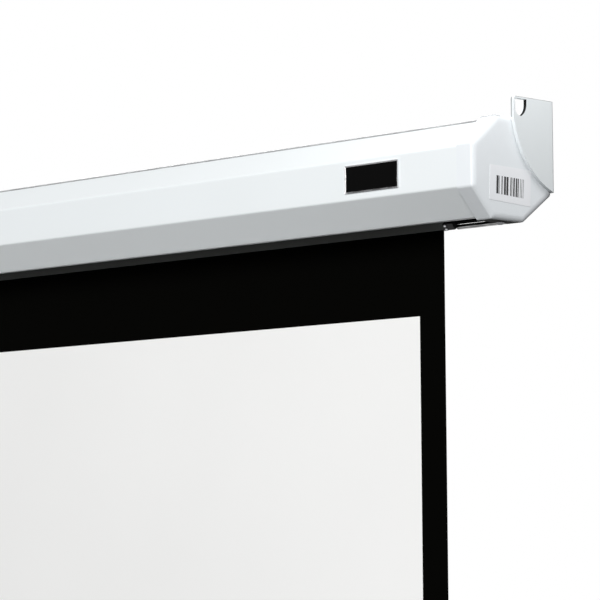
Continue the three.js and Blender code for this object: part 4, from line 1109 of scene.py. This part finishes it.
    def _sticker(self, bench: Bench) -> None:
        """Builds the paper sticker on the right cap's face.

        Args:
            bench: where the pieces are made.
        """
        x = self.cap_face + self.sticker_glue
        mesh = bmesh.new()
        corners = [mesh.verts.new((x, y * MM, z * MM)) for y, z in self.sticker_corners]
        face = mesh.faces.new(corners)
        uv = mesh.loops.layers.uv.new("sheet")
        for loop, place in zip(face.loops, ((0, 1), (0, 0), (1, 0), (1, 1))):
            loop[uv].uv = place
        bmesh.ops.recalc_face_normals(mesh, faces=mesh.faces)
        if face.normal.x < 0:
            face.normal_flip()
        grown = bmesh.ops.extrude_face_region(mesh, geom=[face])
        raised = [v for v in grown["geom"] if isinstance(v, bmesh.types.BMVert)]
        bmesh.ops.translate(mesh, verts=raised, vec=(self.sticker_thickness, 0, 0))
        bmesh.ops.recalc_face_normals(mesh, faces=mesh.faces)
        bench.finish("cap_sticker", mesh, [Coat.STICKER], "case", easing=None)


@dataclass
class Roller:
    """The tube with its plugs, the winding spring and the fixed spindle inside it."""

    metal: tuple[tuple[str, Coat], ...] = (
        ("roller_tube", Coat.TUBE),
        ("gudgeon_pin", Coat.ZINC),
        ("spindle", Coat.ZINC),
        ("spindle_clip", Coat.SPRING),
    )
    moulded: tuple[str, ...] = (
        "drive_plug",
        "idle_plug",
        "spindle_bearing",
        "spring_anchor",
        "bearing_bush",
    )

    def build(self, bench: Bench) -> None:
        """Builds the roller's pieces.

        Args:
            bench: where the pieces are made.
        """
        for node, coat in self.metal:
            bench.dress(node, coat, Easing(0.2 * MM))
        for node in self.moulded:
            bench.dress(node, Coat.NYLON, Easing(0.3 * MM))
        bench.dress("fabric_roll", Coat.CLOTH_BACK, Easing(0.05 * MM, 1))
        bench.coat_node("torsion_spring", Coat.SPRING)


@dataclass
class Lock:
    """The ratchet head and the two pawls that hold the roller."""

    easing: Easing = Easing(0.15 * MM)

    def build(self, bench: Bench) -> None:
        """Builds the lock's pieces.

        Args:
            bench: where the pieces are made.
        """
        bench.dress("ratchet_head", Coat.ZINC, self.easing)
        for letter in ("a", "b"):
            bench.dress(f"pawl_{letter}", Coat.SPRING, self.easing)
            bench.dress(f"pawl_pin_{letter}", Coat.ZINC, self.easing)


@dataclass
class Cloth:
    """The screen's sheet and the strip of black border that stays above the weight bar."""

    sheet: Sheet = SHEET
    strip_bottom_z: float = -1094.3 * MM
    travel: float = 1005.31 * MM

    def build(self, bench: Bench) -> None:
        """Builds the sheet, which rides on the case, and the strip, which rises with the bar.

        Args:
            bench: where the pieces are made.
        """
        s = self.sheet
        main = self._panel(s.white_bottom_z, s.tangent_z)
        upper = bench.finish(
            "screen_sheet",
            main,
            [Coat.PICTURE, Coat.CLOTH_BACK],
            "case",
            ["screen_fabric"],
            None,
        )
        lower = bench.finish(
            "border_strip",
            self._panel(self.strip_bottom_z, s.white_bottom_z),
            [Coat.CLOTH_BORDER, Coat.CLOTH_BACK],
            "bar",
            ["screen_fabric"],
            None,
        )
        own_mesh(upper)

    def _panel(self, bottom: float, top: float) -> bmesh.types.BMesh:
        """Makes a flat panel of cloth whose front face is finish 0 and the rest finish 1.

        Args:
            bottom: its lower edge.
            top: its upper edge.

        Returns:
            The panel's mesh.
        """
        s = self.sheet
        mesh = slab(
            (-s.width / 2, s.plane_y - s.thickness / 2, bottom),
            (s.width / 2, s.plane_y + s.thickness / 2, top),
        )
        lay_out(mesh, 0, 2)
        for face in mesh.faces:
            face.material_index = 0 if face.normal.y < -FACING else 1
        return mesh


@dataclass
class BottomBar:
    """The weight bar with its end caps, its rod and the bracket of the pull handle."""

    def build(self, bench: Bench) -> None:
        """Builds the bar's pieces.

        Args:
            bench: where the pieces are made.
        """
        bench.dress("weight_bar", Coat.BAR, Easing(0.2 * MM))
        bench.dress("retaining_rod", Coat.NYLON, Easing(0.3 * MM))
        bench.dress("handle_bracket", Coat.HANDLE, Easing(0.3 * MM))
        bench.dress("handle_pin", Coat.ZINC, Easing(0.2 * MM))
        for side in Side:
            bench.dress(f"{side.word}_bar_cap", Coat.BLACK, Easing(0.4 * MM))
        for end in ("front", "back"):
            bench.dress(f"bracket_screw_{end}", Coat.ZINC, Easing(0.1 * MM))


@dataclass
class Handle:
    """The moulded pull handle."""

    easing: Easing = Easing(0.5 * MM, 3)

    def build(self, bench: Bench) -> None:
        """Builds the handle."""
        bench.dress("pull_handle", Coat.HANDLE, self.easing)


# Studio


@dataclass(frozen=True)
class Lamp:
    """A soft round lamp that the camera doesn't see, in metres and watts."""

    name: str
    place: Place
    aim: Place
    size: float
    power: float

    def hang(self) -> None:
        """Hangs the lamp and points it at its aim."""
        data = bpy.data.lights.new(self.name, "AREA")
        data.shape = "DISK"
        data.size = self.size
        data.energy = self.power
        lamp = bpy.data.objects.new(self.name, data)
        bpy.context.scene.collection.objects.link(lamp)
        lamp.visible_camera = False
        along = Vector(self.aim) - Vector(self.place)
        turn = along.to_track_quat("-Z", "Y").to_matrix().to_4x4()
        lamp.matrix_world = Matrix.Translation(self.place) @ turn


@dataclass
class Studio:
    """Camera, lamps, floor and background, at the photograph's viewing angle."""

    camera_place: Place = (2171.5 * MM, -1725.4 * MM, -336.7 * MM)
    yaw: float = 45.131
    pitch: float = 5.0286
    roll: float = -0.4201
    focal_pixels: float = 2879.23
    picture_pixels: float = 600.0
    sensor_width: float = 36.0
    clip_start: float = 0.05
    clip_end: float = 200.0
    lamps: tuple[Lamp, ...] = (
        Lamp("key", (2.93, -5.13, 1.95), (0.45, -0.05, -0.05), 3.0, 392.0),
        Lamp("back", (-3.5, 4.2, 1.8), (0.0, 0.0, -0.5), 3.0, 170.0),
        Lamp("end", (0.86, -0.06, 0.2), (0.72, -0.05, -0.02), 0.2, 0.55),
    )
    sky: Colour = (0.97, 0.98, 1.0)
    ambient: float = 0.18
    floor_z: float = -2.3
    floor_size: float = 60.0
    floor_colour: Colour = (0.9, 0.9, 0.9)
    floor_bounce: Colour = (0.07, 0.07, 0.07)
    floor_evenness: float = 0.75
    floor_roughness: float = 0.9
    floor_specular: float = 0.05

    def build(self) -> None:
        """Sets the whole studio up."""
        bpy.context.scene.view_settings.view_transform = "Standard"
        self._camera()
        for lamp in self.lamps:
            lamp.hang()
        self._floor()
        self._background()

    def _camera(self) -> None:
        """Places the camera where the photograph was taken from."""
        data = bpy.data.cameras.new("photo_camera")
        data.sensor_width = self.sensor_width
        data.lens = self.focal_pixels * self.sensor_width / self.picture_pixels
        data.clip_start = self.clip_start
        data.clip_end = self.clip_end
        camera = bpy.data.objects.new("photo_camera", data)
        bpy.context.scene.collection.objects.link(camera)
        yaw = math.radians(self.yaw)
        pitch = math.radians(self.pitch)
        roll = math.radians(self.roll)
        ahead = Vector(
            (-math.sin(yaw) * math.cos(pitch), math.cos(yaw) * math.cos(pitch), math.sin(pitch))
        )
        right = Vector((math.cos(yaw), math.sin(yaw), 0.0))
        up = right.cross(ahead)
        across = right * math.cos(roll) + up * math.sin(roll)
        upward = up * math.cos(roll) - right * math.sin(roll)
        turned = Matrix((across, upward, -ahead)).transposed().to_4x4()
        camera.matrix_world = Matrix.Translation(self.camera_place) @ turned
        bpy.context.scene.camera = camera

    def _floor(self) -> None:
        """Lays the plain pale floor well below the handle."""
        mesh = bmesh.new()
        bmesh.ops.create_grid(mesh, x_segments=1, y_segments=1, size=self.floor_size / 2)
        bmesh.ops.translate(mesh, verts=mesh.verts, vec=(0, 0, self.floor_z))
        data = bpy.data.meshes.new("floor")
        mesh.to_mesh(data)
        mesh.free()
        material = bpy.data.materials.new("floor_paint")
        material.use_nodes = True
        recipe = Recipe(material.node_tree)
        shown = self._shown(recipe)
        colour = recipe.blend(shown, self.floor_bounce, self.floor_colour)
        paint = recipe.node(
            "ShaderNodeBsdfPrincipled",
            {},
            {
                "Base Color": colour,
                "Roughness": self.floor_roughness,
                "Specular IOR Level": self.floor_specular,
            },
        )
        glow = recipe.node(
            "ShaderNodeEmission", {}, {"Color": rgba(self.floor_colour), "Strength": 1.0}
        )
        both = recipe.node(
            "ShaderNodeMixShader", {}, {0: shown * self.floor_evenness, 1: paint, 2: glow}
        )
        recipe.node("ShaderNodeOutputMaterial", {}, {"Surface": both})
        data.materials.append(material)
        floor = bpy.data.objects.new("floor", data)
        bpy.context.scene.collection.objects.link(floor)

    def _shown(self, recipe: Recipe) -> Signal:
        """Is 1 where the camera looks, straight, by reflection or through something clear.

        Args:
            recipe: the node tree that asks.

        Returns:
            The signal.
        """
        rays = ("Is Camera Ray", "Is Glossy Ray", "Is Transmission Ray")
        seen = [recipe.node("ShaderNodeLightPath", output=name) for name in rays]
        return seen[0].larger(seen[1]).larger(seen[2])

    def _background(self) -> None:
        """Makes the background white to the camera and a plain grey light to the object."""
        world = bpy.data.worlds.new("studio")
        bpy.context.scene.world = world
        world.use_nodes = True
        recipe = Recipe(world.node_tree)
        white = recipe.node("ShaderNodeBackground", {}, {"Color": rgba((1, 1, 1)), "Strength": 1.0})
        light = recipe.node(
            "ShaderNodeBackground", {}, {"Color": rgba(self.sky), "Strength": self.ambient}
        )
        both = recipe.node("ShaderNodeMixShader", {}, {0: self._shown(recipe), 1: light, 2: white})
        recipe.node("ShaderNodeOutputWorld", {}, {"Surface": both})


def corners(span: Span) -> list[list[float]]:
    """Gives a box as plain lists of numbers."""
    return [list(corner) for corner in span]


def main() -> None:
    logging.basicConfig(level=logging.INFO, format="%(message)s")
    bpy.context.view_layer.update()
    bench = Bench()
    for part in (Housing(), Roller(), Lock(), Cloth(), BottomBar(), Handle()):
        part.build(bench)
        LOG.info("%s is done", type(part).__name__)
    Studio().build()
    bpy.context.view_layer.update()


if __name__ == "__main__":
    main()
